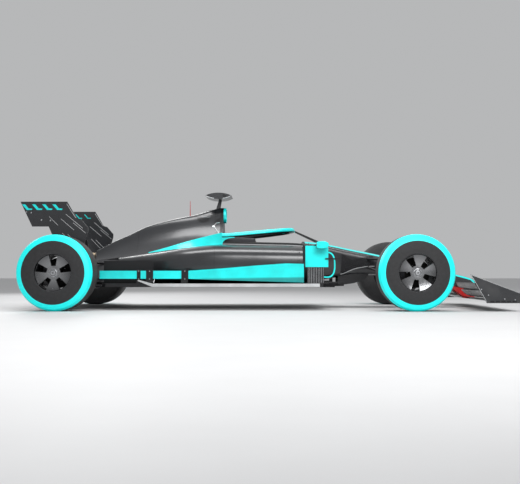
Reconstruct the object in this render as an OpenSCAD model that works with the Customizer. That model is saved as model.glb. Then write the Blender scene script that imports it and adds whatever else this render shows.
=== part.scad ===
// Single-seat open wheel racing car: a hollow tub that carries wings, floor, suspension and wheels.
// Frame: +X forward, +Y to the car's left, +Z up, origin on the ground under the middle of the car.

/* [Overall] */
// Distance between the axles
wheelbase = 3160; // [2900:10:3500]
// Front axle to the tip of the front wing
front_overhang = 916; // [850:1:1000]
// Rear axle to the rear edge of the rear wing
rear_overhang = 408; // [380:1:500]
// Width over the tyres
car_w = 2000; // [1900:10:2100]
// Ground to the underside of the floor
ride_h = 208; // [180:1:220]

/* [Wheels] */
// Outer radius of the tyres
tyre_r = 335; // [320:1:350]
// Radius of the rim at the tyre's bead
rim_r = 171; // [165:1:190]
// Width of a front tyre
front_tyre_w = 305; // [280:1:330]
// Width of a rear tyre
rear_tyre_w = 345; // [320:1:380]
// Width and depth of the rounded tyre shoulder
shoulder = 56; // [40:1:70]
// Number of wheel spokes
spokes = 5; // [4:1:7]
// Radius of the stub axles and hub tubes
axle_r = 32; // [25:1:38]

/* [Steering and suspension] */
// Kingpin to the wheel's middle plane
kingpin_offset = 92; // [85:1:110]
// Ball joints above and below the axle
ball_h = 105; // [95:1:112]
// Length of the steering arm
arm_l = 85; // [75:1:95]
// Height of the track rods above the axle
rod_h = 55; // [45:1:65]
// Radius of the suspension links
link_r = 11; // [8:1:14]
// Steering wheel rake from upright
wheel_rake = 14; // [0:1:20]

/* [Body] */
// Front axle to the front bulkhead
bulkhead_fwd = 140; // [110:1:170]
// Front axle to the rear bulkhead
bulkhead_back = 1730; // [1650:1:1800]
// Tip of the nose behind the tip of the wing
nose_setback = 159; // [130:1:200]
// Wall of the tub
tub_wall = 20; // [14:1:26]
// Wall of the bodywork panels
panel_t = 9; // [7:1:12]
// Thickness of the floor
floor_t = 32; // [24:1:40]
// Half width of the floor
floor_half = 736; // [732:1:760]
// Rear end of the engine cover ahead of the rear axle
cover_tail = 168; // [120:1:220]
// Sidepod mouth behind the front axle
pod_back = 980; // [940:1:1020]
// Depth of the cyan side rails
rail_t = 22; // [16:1:26]

/* [Wings] */
// Half span of the front wing between its endplates
front_span = 938; // [880:1:960]
// Rear tyres to the rear wing's endplates
rear_wing_gap = 49; // [30:1:80]
// Thickness of the endplates
plate_t = 12; // [8:1:16]
// Top of the rear wing's endplates
rear_wing_z = 989; // [960:1:1010]
// Lowest edge of the front wing
front_wing_z = 72; // [65:1:85]

/* [Hidden] */
$fn = 48;

// Colours
graphite = "#33363b";
black = "#15161a";
cyan = "#12e8e8";
red = "#c02424";
metal = "#8f959c";
rubber = "#1b1b1d";

// Seat gap between pieces that rest on each other along curves
seat_gap = 0.3;

// Planes along the car
length = wheelbase + front_overhang + rear_overhang;
tip_x = length / 2;
tail_x = -length / 2;
xf = tip_x - front_overhang;
xr = xf - wheelbase;
cell_front = xf + bulkhead_fwd;
cell_rear = xf - bulkhead_back;
hoop_t = 30;
cover_front = cell_rear - hoop_t;
cover_rear = xr + cover_tail;
nose_tip = tip_x - nose_setback;
pod_front = xf - pod_back;
pod_tail = 430;
pod_rear = xr + pod_tail;
floor_top = ride_h + floor_t;
front_y = (car_w - front_tyre_w) / 2;
rear_y = (car_w - rear_tyre_w) / 2;
king_y = front_y - kingpin_offset;
tyre_in = car_w / 2 - rear_tyre_w;
rear_span = tyre_in - rear_wing_gap - plate_t;

// Tub stations: share of its length, half width, rise of the bottom over the floor, rim z, deck top z
TUB = [
    [0, 140, 45, 350, 424],
    [0.17, 175, 70, 420, 505],
    [0.33, 205, 68, 490, 566],
    [0.49, 250, 28, 560, 626],
    [0.58, 290, 0, 600, 640],
    [0.76, 335, 0, 612, 650],
    [1, 345, 0, 620, 655]];
dash_u = 0.58;
tub_e = 4;
deck_e = 3;

// Nose stations: share of its length, half width, bottom z, widest z, top z
NOSE = [
    [0, TUB[0][1], floor_top + TUB[0][2], TUB[0][3], TUB[0][4]],
    [0.4, 115, 236, 290, 362],
    [0.7, 92, 196, 240, 317],
    [0.93, 68, 160, 205, 272],
    [1, 42, 152, 182, 214]];

// Engine cover stations: share of its length, shoulder half width, shoulder z, spine half width, spine z
COVER = [
    [0, 345, 600, 105, 978],
    [0.09, 345, 592, 100, 954],
    [0.2, 338, 580, 85, 912],
    [0.33, 318, 560, 66, 879],
    [0.46, 285, 538, 48, 842],
    [0.6, 240, 515, 34, 792],
    [0.73, 190, 492, 24, 714],
    [0.86, 140, 474, 18, 644],
    [1, 85, 458, 13, 552]];
shoulder_power = 2.2;

// Sidepod stations: share of its length, reach beyond the hull side, top z ahead of the cover
POD = [
    [0, 395, 588],
    [0.25, 358, 594],
    [0.5, 350, 598],
    [0.7, 300, 590],
    [0.85, 185, 580],
    [1, 90, 570]];
pod_e = 3.2;

// Smooth value of column c of a table at station u, by cubic pieces through its rows
function row_at(t, u, i = 0) = (i >= len(t) - 2 || u <= t[i + 1][0]) ? i : row_at(t, u, i + 1);
function rise(t, c, i, k) = (t[k][c] - t[i][c]) / (t[k][0] - t[i][0]);
function slope(t, c, i) = rise(t, c, max(i - 1, 0), min(i + 1, len(t) - 1));
function at(t, c, u) =
    let (i = row_at(t, u), d = t[i + 1][0] - t[i][0], s = (u - t[i][0]) / d)
    (2 * s ^ 3 - 3 * s ^ 2 + 1) * t[i][c] + (s ^ 3 - 2 * s ^ 2 + s) * d * slope(t, c, i)
    + (3 * s ^ 2 - 2 * s ^ 3) * t[i + 1][c] + (s ^ 3 - s ^ 2) * d * slope(t, c, i + 1);

// Superellipse helpers: a signed power, and a half section from +y over the top or bottom to -y
function power(v, e) = sign(v) * pow(abs(v), 2 / e);
function arch(w, z0, z1, e, n) =
    [for (i = [0 : n]) let (a = 180 * i / n) [w * power(cos(a), e), z0 + (z1 - z0) * power(sin(a), e)]];
function back(p) = [for (i = [len(p) - 1 : -1 : 0]) p[i]];
function ring(x, pts) = [for (p = pts) [x, p[0], p[1]]];
function shares(m) = [for (i = [0 : m]) i / m];

// Where the bodies lie along the car
function tub_u(x) = (x - cell_front) / (cell_rear - cell_front);
function tub_x(u) = cell_front + (cell_rear - cell_front) * u;
function tub_z(u) = floor_top + max(seat_gap, at(TUB, 2, u));
function nose_x(u) = cell_front + (nose_tip - cell_front) * u;
function cover_u(x) = max(0, min(1, (x - cover_front) / (cover_rear - cover_front)));
function cover_x(u) = cover_front + (cover_rear - cover_front) * u;

// Half width of the tub side at a station and height
function side_y(x, z) =
    let (u = tub_u(x), zr = at(TUB, 3, u), w = at(TUB, 1, u), up = z > zr,
         d = up ? (z - zr) / (at(TUB, 4, u) - zr) : (zr - z) / (zr - tub_z(u)), e = up ? deck_e : tub_e)
    w * pow(max(0, 1 - pow(d, e)), 1 / e);

// Cover section: half width at share t of its height, wide shoulders drawn in to a slim spine
function cover_w(w, ws, t) = ws * sqrt(max(0, 1 - t ^ 8)) + (w - ws) * pow(1 - t, shoulder_power);
function cover_y(u, z) =
    let (z0 = at(COVER, 2, u), z1 = at(COVER, 4, u), t = max(0, min(1, (z - z0) / (z1 - z0))))
    cover_w(at(COVER, 1, u), at(COVER, 3, u), t);
function cover_arch(u, inset, n) =
    let (w = at(COVER, 1, u) - inset, ws = max(at(COVER, 3, u) - inset, 4), z0 = at(COVER, 2, u),
         z1 = at(COVER, 4, u) - inset)
    [for (i = [0 : n]) let (s = 1 - abs(2 * i / n - 1), t = sin(90 * s))
        [sign(n / 2 - i) * cover_w(w, ws, t), z0 + (z1 - z0) * t]];

// Closed skin over a row of rings with as many points each, the wall running between point j and its mate
function turn(r) =
    [for (i = [0 : len(r) - 1]) let (a = r[i], b = r[(i + 1) % len(r)]) a[1] * b[2] - b[1] * a[2]];
function total(v, i = 0) = i < len(v) ? v[i] + total(v, i + 1) : 0;
module skin(rings, forward) {
    n = len(rings[0]);
    last = (len(rings) - 1) * n;
    side = [for (i = [0 : len(rings) - 2], j = [0 : n - 1])
        let (a = i * n + j, b = i * n + (j + 1) % n) each [[a, b, b + n], [a, b + n, a + n]]];
    cap = [for (j = [0 : n / 2 - 2]) each [[j, n - 1 - j, n - 2 - j], [j, n - 2 - j, j + 1]]];
    end = [for (f = cap) [last + f[2], last + f[1], last + f[0]]];
    faces = concat(side, cap, end);
    polyhedron([for (r = rings) each r], forward ? faces : [for (f = faces) back(f)]);
}
module loft(rings) {
    run = rings[len(rings) - 1][0][0] - rings[0][0][0];
    skin(rings, total(turn(rings[0])) * run < 0);
}

// Round bar along a path of points, as a smooth tube with square ends
function unit(v) = v / norm(v);
module tube(path, r, n = 12) {
    m = len(path) - 1;
    rings = [for (i = [0 : m])
        let (d = unit(path[min(i + 1, m)] - path[max(i - 1, 0)]), s = unit(cross(d, [0, 0, 1])),
            u = cross(s, d))
        [for (j = [0 : n - 1]) let (a = 360 * (j + 0.5) / n) path[i] + r * (cos(a) * s + sin(a) * u)]];
    skin(rings, true);
}

// Straight bar between two points, with ball ends
module bar(a, b, r, ball = 0) {
    d = b - a;
    translate(a)
        rotate([0, acos(d[2] / norm(d)), atan2(d[1], d[0])])
            cylinder(h = norm(d), r = r);
    if (ball > 0)
        for (p = [a, b])
            translate(p)
                sphere(r = ball);
}

// A piece and its mirror image on the other side
module pair() {
    for (s = [0, 1])
        mirror([0, s, 0])
            children();
}

// Side view outline in X and Z, as a plate between two values of Y
module plate(y0, y1) {
    translate([0, y1, 0])
        rotate([90, 0, 0])
            linear_extrude(y1 - y0)
                children();
}

// Section outline in Y and Z, as a slab forward from x
module slab(x, t) {
    translate([x, 0, 0])
        rotate([90, 0, 90])
            linear_extrude(t)
                children();
}

// Aerofoil outline: nose at the origin, tail at -chord, its underside bowed down by camber
foil_points = 10;
function foil(chord, thick, camber) =
    [for (i = [0 : 2 * foil_points])
        let (k = abs(i - foil_points) / foil_points, c = 1 - k ^ 2,
             t = thick * 2.6 * (sqrt(1 - c) - (1 - c) ^ 1.4 + 0.03 * c),
             z = -4 * camber * c * (1 - c))
        [-chord * (1 - c), z + (i < foil_points ? -t / 2 : t / 2)]];

/* Body shell */

deck_rings = 14;
open_rings = 9;
tub_points = 24;
DECK_U = [for (s = shares(deck_rings)) s * dash_u];
OPEN_U = [for (s = shares(open_rings)) dash_u + (1 - dash_u) * s];
module monocoque() {
    color(graphite)
        loft([for (u = concat(DECK_U, [for (i = [1 : open_rings]) OPEN_U[i]]))
            let (w = at(TUB, 1, u), zb = tub_z(u), zr = at(TUB, 3, u))
            ring(tub_x(u), concat(arch(w, zr, zb, tub_e, tub_points),
                back(arch(w - tub_wall, zr, zb + tub_wall, tub_e, tub_points))))]);
}

deck_wall = 14;
module nose_deck() {
    color(graphite)
        loft([for (u = DECK_U)
            let (w = at(TUB, 1, u), zr = at(TUB, 3, u), zt = at(TUB, 4, u))
            ring(tub_x(u), concat(arch(w, zr, zt, deck_e, tub_points),
                back(arch(w - tub_wall, zr, zt - deck_wall, deck_e, tub_points))))]);
}

nose_rings = 16;
module nose_cone() {
    color(graphite)
        loft([for (u = shares(nose_rings))
            let (w = at(NOSE, 1, u), zr = at(NOSE, 3, u),
                low = arch(w, zr, at(NOSE, 2, u), tub_e, tub_points),
                 high = back(arch(w, zr, at(NOSE, 4, u), deck_e, tub_points)))
            ring(nose_x(u), concat(low, [for (i = [1 : tub_points - 1]) high[i]]))]);
}

// Dash panel behind the deck, with the steering column's bearing on its tongue
dash_t = 16;
column_r = 14;
column_fit = 0.6;
wheel_x = tub_x(dash_u) - 175;
wheel_z = 548;
wheel_axis = [cos(wheel_rake), 0, -sin(wheel_rake)];
column_l = 195;
function column_point(d) = [wheel_x, 0, wheel_z] + d * wheel_axis;
bearing = column_point((tub_x(dash_u) - dash_t / 2 - wheel_x) / cos(wheel_rake));
tongue_half = 70;
tongue_drop = 45;
module dash() {
    u = dash_u;
    rim_z = at(TUB, 3, tub_u(tub_x(u) - dash_t)) + seat_gap;
    color(black)
        difference() {
            union() {
                slab(tub_x(u) - dash_t, dash_t)
                    polygon(arch(at(TUB, 1, u), rim_z, at(TUB, 4, u), deck_e, tub_points));
                slab(tub_x(u) - dash_t, dash_t)
                    translate([-tongue_half, bearing[2] - tongue_drop])
                        square([2 * tongue_half, rim_z - bearing[2] + tongue_drop + 1]);
            }
            translate(bearing)
                rotate([0, 90 + wheel_rake, 0])
                    cylinder(h = 6 * dash_t, r = column_r + column_fit, center = true);
        }
}

// Rear bulkhead and roll hoop: closes the tub's rear end and rises round the airbox mouth
mouth_z = 900;
mouth_h = 62;
mouth_w = 72;
mouth_e = 2.6;
mouth_points = 36;
function oval(w, h, e, n) =
    [for (i = [0 : n - 1]) let (a = 360 * i / n) [w * power(cos(a), e), h * power(sin(a), e)]];
module roll_hoop() {
    color(black)
        slab(cover_front, hoop_t)
            difference() {
                polygon(concat(arch(at(TUB, 1, 1), COVER[0][2], tub_z(1), tub_e, tub_points),
                    back(cover_arch(0, 0, 2 * tub_points))));
                translate([0, mouth_z])
                    polygon(oval(mouth_w, mouth_h, mouth_e, mouth_points));
            }
}

lip_t = 14;
lip_l = 24;
module airbox_lip() {
    color(cyan)
        slab(cell_rear, lip_l)
            translate([0, mouth_z])
                difference() {
                    polygon(oval(mouth_w + lip_t, mouth_h + lip_t, mouth_e, mouth_points));
                    polygon(oval(mouth_w, mouth_h, mouth_e, mouth_points));
                }
}

cover_rings = 22;
cover_points = 32;
module engine_cover() {
    color(graphite)
        loft([for (u = shares(cover_rings))
            ring(cover_x(u), concat(cover_arch(u, 0, cover_points),
                back(cover_arch(u, panel_t, cover_points))))]);
}

// Onboard camera: a lens-shaped crossbar on a slim pylon over the airbox
cam_x = cover_front - 18;
cam_l = 255;
cam_z = 1086;
cam_half = 150;
cam_t = 61;
cam_points = 36;
pylon_back = 30;
pylon_ahead = 14;
pylon_lean = 18;
pylon_t = 16;
function spine_z(x) = at(COVER, 4, cover_u(x));
function lens(l, h, n) =
    [for (i = [0 : n - 1]) let (a = 360 * i / n)
        [l / 2 * cos(a), h / 2 * sign(sin(a)) * pow(abs(sin(a)), 1.5)]];
module camera_pod() {
    foot = [for (x = [cam_x - pylon_back, cam_x + pylon_ahead]) [x, spine_z(x) + 2 * seat_gap]];
    color(graphite) {
        plate(-cam_half, cam_half)
            translate([cam_x, cam_z])
                polygon(lens(cam_l, cam_t, cam_points));
        plate(-pylon_t / 2, pylon_t / 2)
            difference() {
                polygon(concat(foot, [[cam_x + pylon_ahead + pylon_lean, cam_z],
                    [cam_x - pylon_back + 2 * pylon_lean, cam_z]]));
                translate([cam_x, cam_z])
                    polygon(lens(cam_l, cam_t, cam_points));
            }
    }
}

antenna_x = cover_front - 306;
antenna_h = 148;
antenna_r = 4;
module antenna() {
    color(red)
        translate([antenna_x, 0, spine_z(antenna_x + antenna_r) + seat_gap])
            cylinder(h = antenna_h, r1 = antenna_r, r2 = antenna_r / 2);
}

// Halo: a hoop round the cockpit opening on a centre pillar, behind it two fairings on the cover's sides
halo_r = 24;
halo_half = 330;
halo_l = 636;
halo_z0 = 688;
halo_z1 = 752;
halo_straight = 40;
halo_steps = 20;
pillar_t = 34;
pillar_foot = tub_x(0.49);
pillar_head = 19;
pillar_ahead = 40;
pillar_behind = 50;
pillar_lift = 1;
function deck_z(x) = at(TUB, 4, tub_u(x));
module halo() {
    x0 = cell_rear + seat_gap;
    hoop = [for (i = [0 : halo_steps]) let (a = 180 * i / halo_steps)
        [x0 + halo_straight + halo_l * pow(sin(a), 0.8), halo_half * power(cos(a), 2.6),
            halo_z0 + (halo_z1 - halo_z0) * pow(sin(a), 0.9)]];
    top_x = x0 + halo_straight + halo_l;
    color(cyan)
        tube(concat([[x0, halo_half, halo_z0]], hoop, [[x0, -halo_half, halo_z0]]), halo_r);
    color(black)
        plate(-pillar_t / 2, pillar_t / 2)
            difference() {
                polygon(concat([[top_x - pillar_head, halo_z1], [top_x + pillar_head, halo_z1]],
                    [for (x = [pillar_foot + pillar_ahead, pillar_foot - pillar_behind])
                        [x, deck_z(x) + pillar_lift]]));
                translate([top_x, halo_z1])
                    circle(r = halo_r + seat_gap / 2);
            }
}

fairing_l = 710;
fairing_rings = 14;
fairing_points = 7;
fairing_t = 7;
fairing_out = 352;
fairing_gap = 3;
fairing_lift = 3;
fairing_tail = 8;
fairing_h = 106;
fairing_fall = 1.15;
module halo_fairings() {
    color(cyan)
        pair()
            loft([for (s = shares(fairing_rings))
                let (x = cell_rear - fairing_l * s, u = cover_u(x), low = at(COVER, 2, u) + fairing_lift,
                     mix = pow(1 - s, fairing_fall), high = low + fairing_tail + fairing_h * mix,
                     zs = [for (t = shares(fairing_points)) low + (high - low) * t])
                ring(x, concat(
                    [for (z = zs) let (y = cover_y(u, z) + fairing_gap + fairing_t)
                        [y + mix * max(0, fairing_out - y), z]],
                    [for (z = back(zs)) [cover_y(u, z) + fairing_gap, z]]))]);
}

// Cockpit furniture
pad_half = 300;
pad_in = 195;
pad_back = 90;
pad_l = 330;
pad_z = 585;
pad_h = 95;
module headrest() {
    color(black)
        translate([cell_rear + seat_gap, 0, pad_z])
            linear_extrude(pad_h)
                difference() {
                    translate([0, -pad_half])
                        square([pad_l, 2 * pad_half]);
                    translate([pad_back + pad_in / 2, -pad_in])
                        square([pad_l, 2 * pad_in]);
                    translate([pad_back + pad_in / 2, 0])
                        intersection() {
                            circle(r = pad_in, $fn = 64);
                            translate([-pad_in / 2, -pad_in])
                                square([pad_in, 2 * pad_in]);
                        }
                }
}

// Seat stations: share of its length from the knees to the shoulders, half width, bottom z, rim z
SEAT = [
    [0, 215, 345, 415],
    [0.3, 225, 272, 410],
    [0.62, 230, 300, 450],
    [0.85, 225, 415, 520],
    [1, 215, 520, 575]];
seat_l = 470;
seat_wall = 12;
seat_rings = 14;
seat_e = 3;
seat_points = 16;
module seat() {
    color(black)
        loft([for (u = shares(seat_rings))
            let (w = at(SEAT, 1, u), zb = at(SEAT, 2, u), zr = at(SEAT, 3, u))
            ring(cell_rear + seat_gap + seat_l * (1 - u), concat(arch(w, zr, zb, seat_e, seat_points),
                back(arch(w - seat_wall, zr, zb + seat_wall, seat_e, seat_points))))]);
}

mirror_ahead = 165;
mirror_x = pod_front + mirror_ahead;
mirror_z = 584;
mirror_y = 712;
mirror_w = 90;
mirror_l = 62;
mirror_h = 32;
mirror_cut = 45;
mirror_e = 2.4;
stalk_l = 46;
stalk_t = 12;
stalk_x = mirror_x - 20;
stalk_z = mirror_z + 14;
module mirrors() {
    color(black)
        pair() {
            plate(mirror_y, mirror_y + mirror_w)
                translate([mirror_x, mirror_z])
                    intersection() {
                        polygon(oval(mirror_l, mirror_h, mirror_e, 32));
                        translate([-mirror_cut, -mirror_h])
                            square([mirror_cut + mirror_l, 2 * mirror_h]);
                    }
            plate(side_y(stalk_x - stalk_l * 0.45, stalk_z) + seat_gap, mirror_y)
                translate([stalk_x, stalk_z])
                    polygon(lens(stalk_l, stalk_t, 24));
        }
}

/* Sidepods and floor */

rail_lip = 8;
rail_y = floor_half - rail_lip - rail_t;
pod_clear = 3;
hull_half = max([for (p = TUB) p[1]]);
pod_wide = (rail_y - pod_clear - hull_half) / POD[1][1];

// Hull side and top edge that a sidepod starts from
function pod_x(u) = pod_front + (pod_rear - pod_front) * u;
function hull_w(x) = x > cover_front ? at(TUB, 1, min(1, tub_u(x))) : at(COVER, 1, cover_u(x));
function pod_top(u) =
    pod_x(u) > cover_front ? at(POD, 2, u) : min(at(POD, 2, u), at(COVER, 2, cover_u(pod_x(u))));
pod_rings = 20;
pod_points = 20;
function pod_arch(u, inset) =
    let (y0 = hull_w(pod_x(u)) + 2 * seat_gap, a = at(POD, 1, u) * pod_wide - inset, zt = pod_top(u),
         zm = (zt + floor_top) / 2, b = (zt - floor_top) / 2 - inset)
    [for (i = [0 : pod_points]) let (g = 90 - 180 * i / pod_points)
        [y0 + a * power(cos(g), pod_e), zm + b * power(sin(g), pod_e)]];
module sidepods() {
    color(graphite)
        pair()
            loft([for (u = shares(pod_rings))
                ring(pod_x(u), concat(pod_arch(u, 0), back(pod_arch(u, panel_t))))]);
}

// Side rail posts: distance ahead of the rail's rear end, width
POSTS = [[333, 32], [418, 60], [732, 62]];
rail_gap = 17;
rail_rear = xr + tyre_r + rail_gap;
rail_low = 282;
rail_h = 72;
// Lower and upper edge of a rail: distance behind the sidepod's mouth, height over the rail's low edge
RAIL_LOW = [[1035, 0], [740, -12], [-8, -34]];
RAIL_HIGH = [[-8, 134], [150, 138], [410, 120], [740, 92], [1035, 72]];
module side_rails() {
    color(cyan)
        pair()
            plate(rail_y, rail_y + rail_t)
                polygon(concat([[rail_rear, rail_low]],
                    [for (p = concat(RAIL_LOW, RAIL_HIGH)) [pod_front - p[0], rail_low + p[1]]],
                    [[rail_rear, rail_low + rail_h]]));
    color(black)
        pair()
            for (p = POSTS)
                translate([rail_rear + p[0], rail_y, floor_top])
                    cube([p[1], rail_t, rail_low - floor_top]);
}

floor_ahead = 240;
floor_front = pod_front + floor_ahead;
floor_rear = xr + tyre_r + 30;
diffuser_gap = 65;
floor_in = tyre_in - diffuser_gap;
bib_half = 150;
bib_l = 150;
kick_l = 136;
kick_h = 35;
kick_w = 110;
kick_x = floor_rear + 461;
kick_gap = 8;
floor_cut = 60;
tail_cut = 40;
fence_in = 136;
fence_y = floor_half - fence_in;
fence_t = 6;
fence_l = 452;
fence_h = 205;
fence_cut = 20;
module floor() {
    half = [[floor_front + bib_l, bib_half - tail_cut], [floor_front + bib_l - tail_cut, bib_half],
        [floor_front, bib_half + floor_cut], [floor_front, floor_half - floor_cut],
        [floor_front - floor_cut, floor_half], [floor_rear + tail_cut, floor_half],
        [floor_rear, floor_half - tail_cut], [floor_rear, floor_in]];
    color(black) {
        translate([0, 0, ride_h])
            linear_extrude(floor_t)
                polygon(concat(half, [for (p = back(half)) [p[0], -p[1]]]));
        pair()
            plate(rail_y - kick_gap - kick_w, rail_y - kick_gap)
                polygon([[kick_x, floor_top], [kick_x - kick_l, floor_top],
                    [kick_x - kick_l, floor_top + kick_h]]);
        pair()
            plate(fence_y, fence_y + fence_t)
                translate([floor_rear, floor_top])
                    polygon([[0, 0], [fence_l, 0], [fence_l, fence_h - fence_cut],
                        [fence_l - fence_cut, fence_h],
                        [0, fence_h]]);
    }
}

plank_t = 10;
plank_half = 150;
plank_rear = floor_rear + 20;
plank_front = floor_front + bib_l - 60;
module plank() {
    color(black)
        translate([plank_rear, -plank_half, ride_h - plank_t])
            cube([plank_front - plank_rear, 2 * plank_half, plank_t]);
}

ramp_t = 12;
ramp_back = 110;
ramp_l = 210;
ramp_x = xr - ramp_back;
ramp_end = ramp_x - ramp_l;
ramp_z = 292;
strake_y = [95, 240, 385];
strake_t = 6;
skirt_t = 10;
skirt_l = 60;
module diffuser() {
    color(black) {
        plate(-floor_in, floor_in)
            polygon([[floor_rear, ride_h], [ramp_x, ride_h], [ramp_end, ramp_z - ramp_t],
                [ramp_end, ramp_z],
                [ramp_x, ride_h + ramp_t], [floor_rear, ride_h + ramp_t]]);
        pair() {
            for (y = strake_y)
                plate(y, y + strake_t)
                    polygon([[ramp_x, ride_h], [ramp_end, ramp_z - ramp_t],
                        [ramp_end, ride_h + strake_t]]);
            plate(floor_in - skirt_t, floor_in)
                polygon([[ramp_x + skirt_l, ride_h], [ramp_x, ride_h], [ramp_end, ramp_z - ramp_t],
                    [ramp_end, ride_h], [ramp_x, ride_h - strake_t]]);
        }
    }
}

// Deflectors ahead of the sidepods
panel_ahead = 23;
panel_l = 206;
panel_rear = pod_front + panel_ahead;
panel_front = panel_rear + panel_l;
panel_low = 387;
panel_high = 579;
panel_in = 48;
panel_y = floor_half - panel_in;
panel_cut = 20;
slat_ahead = 190;
slat_front = pod_front + slat_ahead;
hoop_x = slat_front + 25;
hoop_z = 408;
hoop_w = 78;
hoop_h = 118;
hoop_bar = 12;
hoop_e = 2.6;
module deflector_panels() {
    color(cyan)
        pair()
            plate(panel_y, panel_y + plate_t) {
                polygon([[panel_rear, panel_low], [panel_front, panel_low],
                    [panel_front, panel_high - panel_cut],
                    [panel_front - panel_cut, panel_high], [panel_rear, panel_high]]);
                difference() {
                    translate([hoop_x, hoop_z])
                        difference() {
                            polygon(oval(hoop_w, hoop_h, hoop_e, 48));
                            polygon(oval(hoop_w - hoop_bar, hoop_h - hoop_bar, hoop_e, 48));
                        }
                    translate([slat_front - hoop_w, panel_low])
                        square([panel_front - slat_front + hoop_w, 2 * hoop_h]);
                    translate([slat_front - hoop_w, panel_low - 2 * hoop_h])
                        square([hoop_w, 2 * hoop_h]);
                }
            }
}

slat_count = 10;
slat_pitch = 15;
slat_w = 6;
fin_ahead = 335;
fin_x = pod_front + fin_ahead;
fin_l = 36;
fin_h = 72;
fin_drop = 24;
slat_out = 3;
foot_in = 18;
foot_h = 13;
stay_z = 455;
stay_l = 106;
stay_t = 12;
stay_back = 29;
module deflector_slats() {
    slat_rear = slat_front - slat_count * slat_pitch;
    slat_h = panel_low - floor_top;
    color(black)
        pair() {
            translate([slat_rear, panel_y + slat_out, floor_top])
                cube([slat_front - slat_rear, slat_w, slat_h]);
            for (i = [0 : slat_count - 1])
                translate([slat_rear + (i + 0.5) * slat_pitch - slat_w / 2, panel_y - slat_out, floor_top])
                    cube([slat_w, plate_t + 2 * slat_out, slat_h]);
            translate([slat_front, panel_y - foot_in, floor_top + slat_out])
                cube([fin_x + fin_l - slat_front, foot_in + plate_t, foot_h]);
            translate([fin_x, panel_y - foot_in - slat_w, floor_top - fin_drop])
                cube([fin_l, slat_w, fin_h]);
            translate([panel_front - stay_back, panel_y + plate_t, stay_z])
                cube([stay_back + stay_l, stay_t, stay_t]);
        }
}

vane_y = 150;
vane_t = 6;
vane_back = 320;
vane_l = 300;
vane_front = xf - vane_back;
vane_rear = vane_front - vane_l;
vane_steps = 8;
// Lower edge of a vane: distance behind its front, height over the floor
VANE_LOW = [[40, 30], [150, -4], [250, -18], [300, -12]];
function under_z(x, y) =
    let (u = tub_u(x), zr = at(TUB, 3, u), w = at(TUB, 1, u))
    zr - (zr - tub_z(u)) * pow(1 - pow(y / w, tub_e), 1 / tub_e);
module nose_vanes() {
    color(black)
        pair()
            plate(vane_y, vane_y + vane_t)
                polygon(concat(
                    [for (s = shares(vane_steps)) let (x = vane_rear + (vane_front - vane_rear) * s)
                        [x, under_z(x, vane_y) - 2 * seat_gap]],
                    [for (p = VANE_LOW) [vane_front - p[0], floor_top + p[1]]]));
}

/* Wings */

// Front wing elements: nose behind the wing's tip, nose height over the wing's low edge, chord, thickness,
// camber, tail-up angle
FRONT_MAIN = [42, 16, 262, 26, 12, 5];
FRONT_FLAPS = [[266, 44, 122, 14, 9, 32], [360, 118, 82, 11, 7, 46]];
flap_in = 230;
module front_element(e) {
    translate([tip_x - e[0], front_wing_z + e[1]])
        rotate(-e[5])
            polygon(foil(e[2], e[3], e[4]));
}
module front_wing_main() {
    color(graphite)
        plate(-front_span, front_span)
            front_element(FRONT_MAIN);
}
module front_wing_flaps() {
    color(graphite)
        pair()
            for (e = FRONT_FLAPS)
                plate(flap_in, front_span)
                    front_element(e);
}

// Front endplate outline: distance behind the wing's tip, height over the wing's low edge
FRONT_PLATE = [[452, 250], [34, 91], [10, 68], [0, 38], [2, 10], [12, 0], [313, 0]];
slots = 5;
slot_pitch = 48;
slot_x = 285;
slot_z = 9;
slot_l = 34;
slot_h = 9;
module front_wing_endplates() {
    color(graphite)
        pair()
            plate(front_span, front_span + plate_t)
                difference() {
                    polygon([for (p = FRONT_PLATE) [tip_x - p[0], front_wing_z + p[1]]]);
                    for (i = [0 : slots - 1])
                        translate([tip_x - slot_x + i * slot_pitch, front_wing_z + slot_z])
                            square([slot_l, slot_h]);
                }
}

pylon_y = 46;
pylon_steps = 6;
pylon_rear = 300;
pylon_front = 110;
pylon_foot = 14;
foot_front = 180;
foot_rear = 280;
module nose_pylons() {
    top_rear = nose_tip - pylon_rear;
    top_front = nose_tip - pylon_front;
    function nose_under(x) =
        let (u = (x - cell_front) / (nose_tip - cell_front), zr = at(NOSE, 3, u), w = at(NOSE, 1, u))
        zr - (zr - at(NOSE, 2, u)) * pow(1 - pow(pylon_y / w, tub_e), 1 / tub_e);
    color(red)
        pair()
            plate(pylon_y, pylon_y + plate_t)
                difference() {
                    polygon(concat(
                        [for (s = shares(pylon_steps)) let (x = top_rear + (top_front - top_rear) * s)
                            [x, nose_under(x) - seat_gap]],
                        [for (x = [foot_front, foot_rear]) [tip_x - x, front_wing_z + pylon_foot]]));
                    front_element(FRONT_MAIN);
                    translate([tip_x - FRONT_MAIN[2] - FRONT_MAIN[0], front_wing_z])
                        square([FRONT_MAIN[2], FRONT_MAIN[1]]);
                }
}

// Rear wing elements: nose behind the axle, nose below the endplate's top, chord, thickness, camber, angle
REAR_MAIN = [70, 190, 245, 30, 24, 12];
REAR_FLAP = [278, 124, 158, 16, 12, 40];
module rear_element(e) {
    translate([xr - e[0], rear_wing_z - e[1]])
        rotate(-e[5])
            polygon(foil(e[2], e[3], e[4]));
}
module rear_wing_main() {
    color(graphite)
        plate(-rear_span, rear_span)
            rear_element(REAR_MAIN);
}
module rear_wing_flap() {
    color(graphite)
        plate(-rear_span, rear_span)
            rear_element(REAR_FLAP);
}

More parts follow.
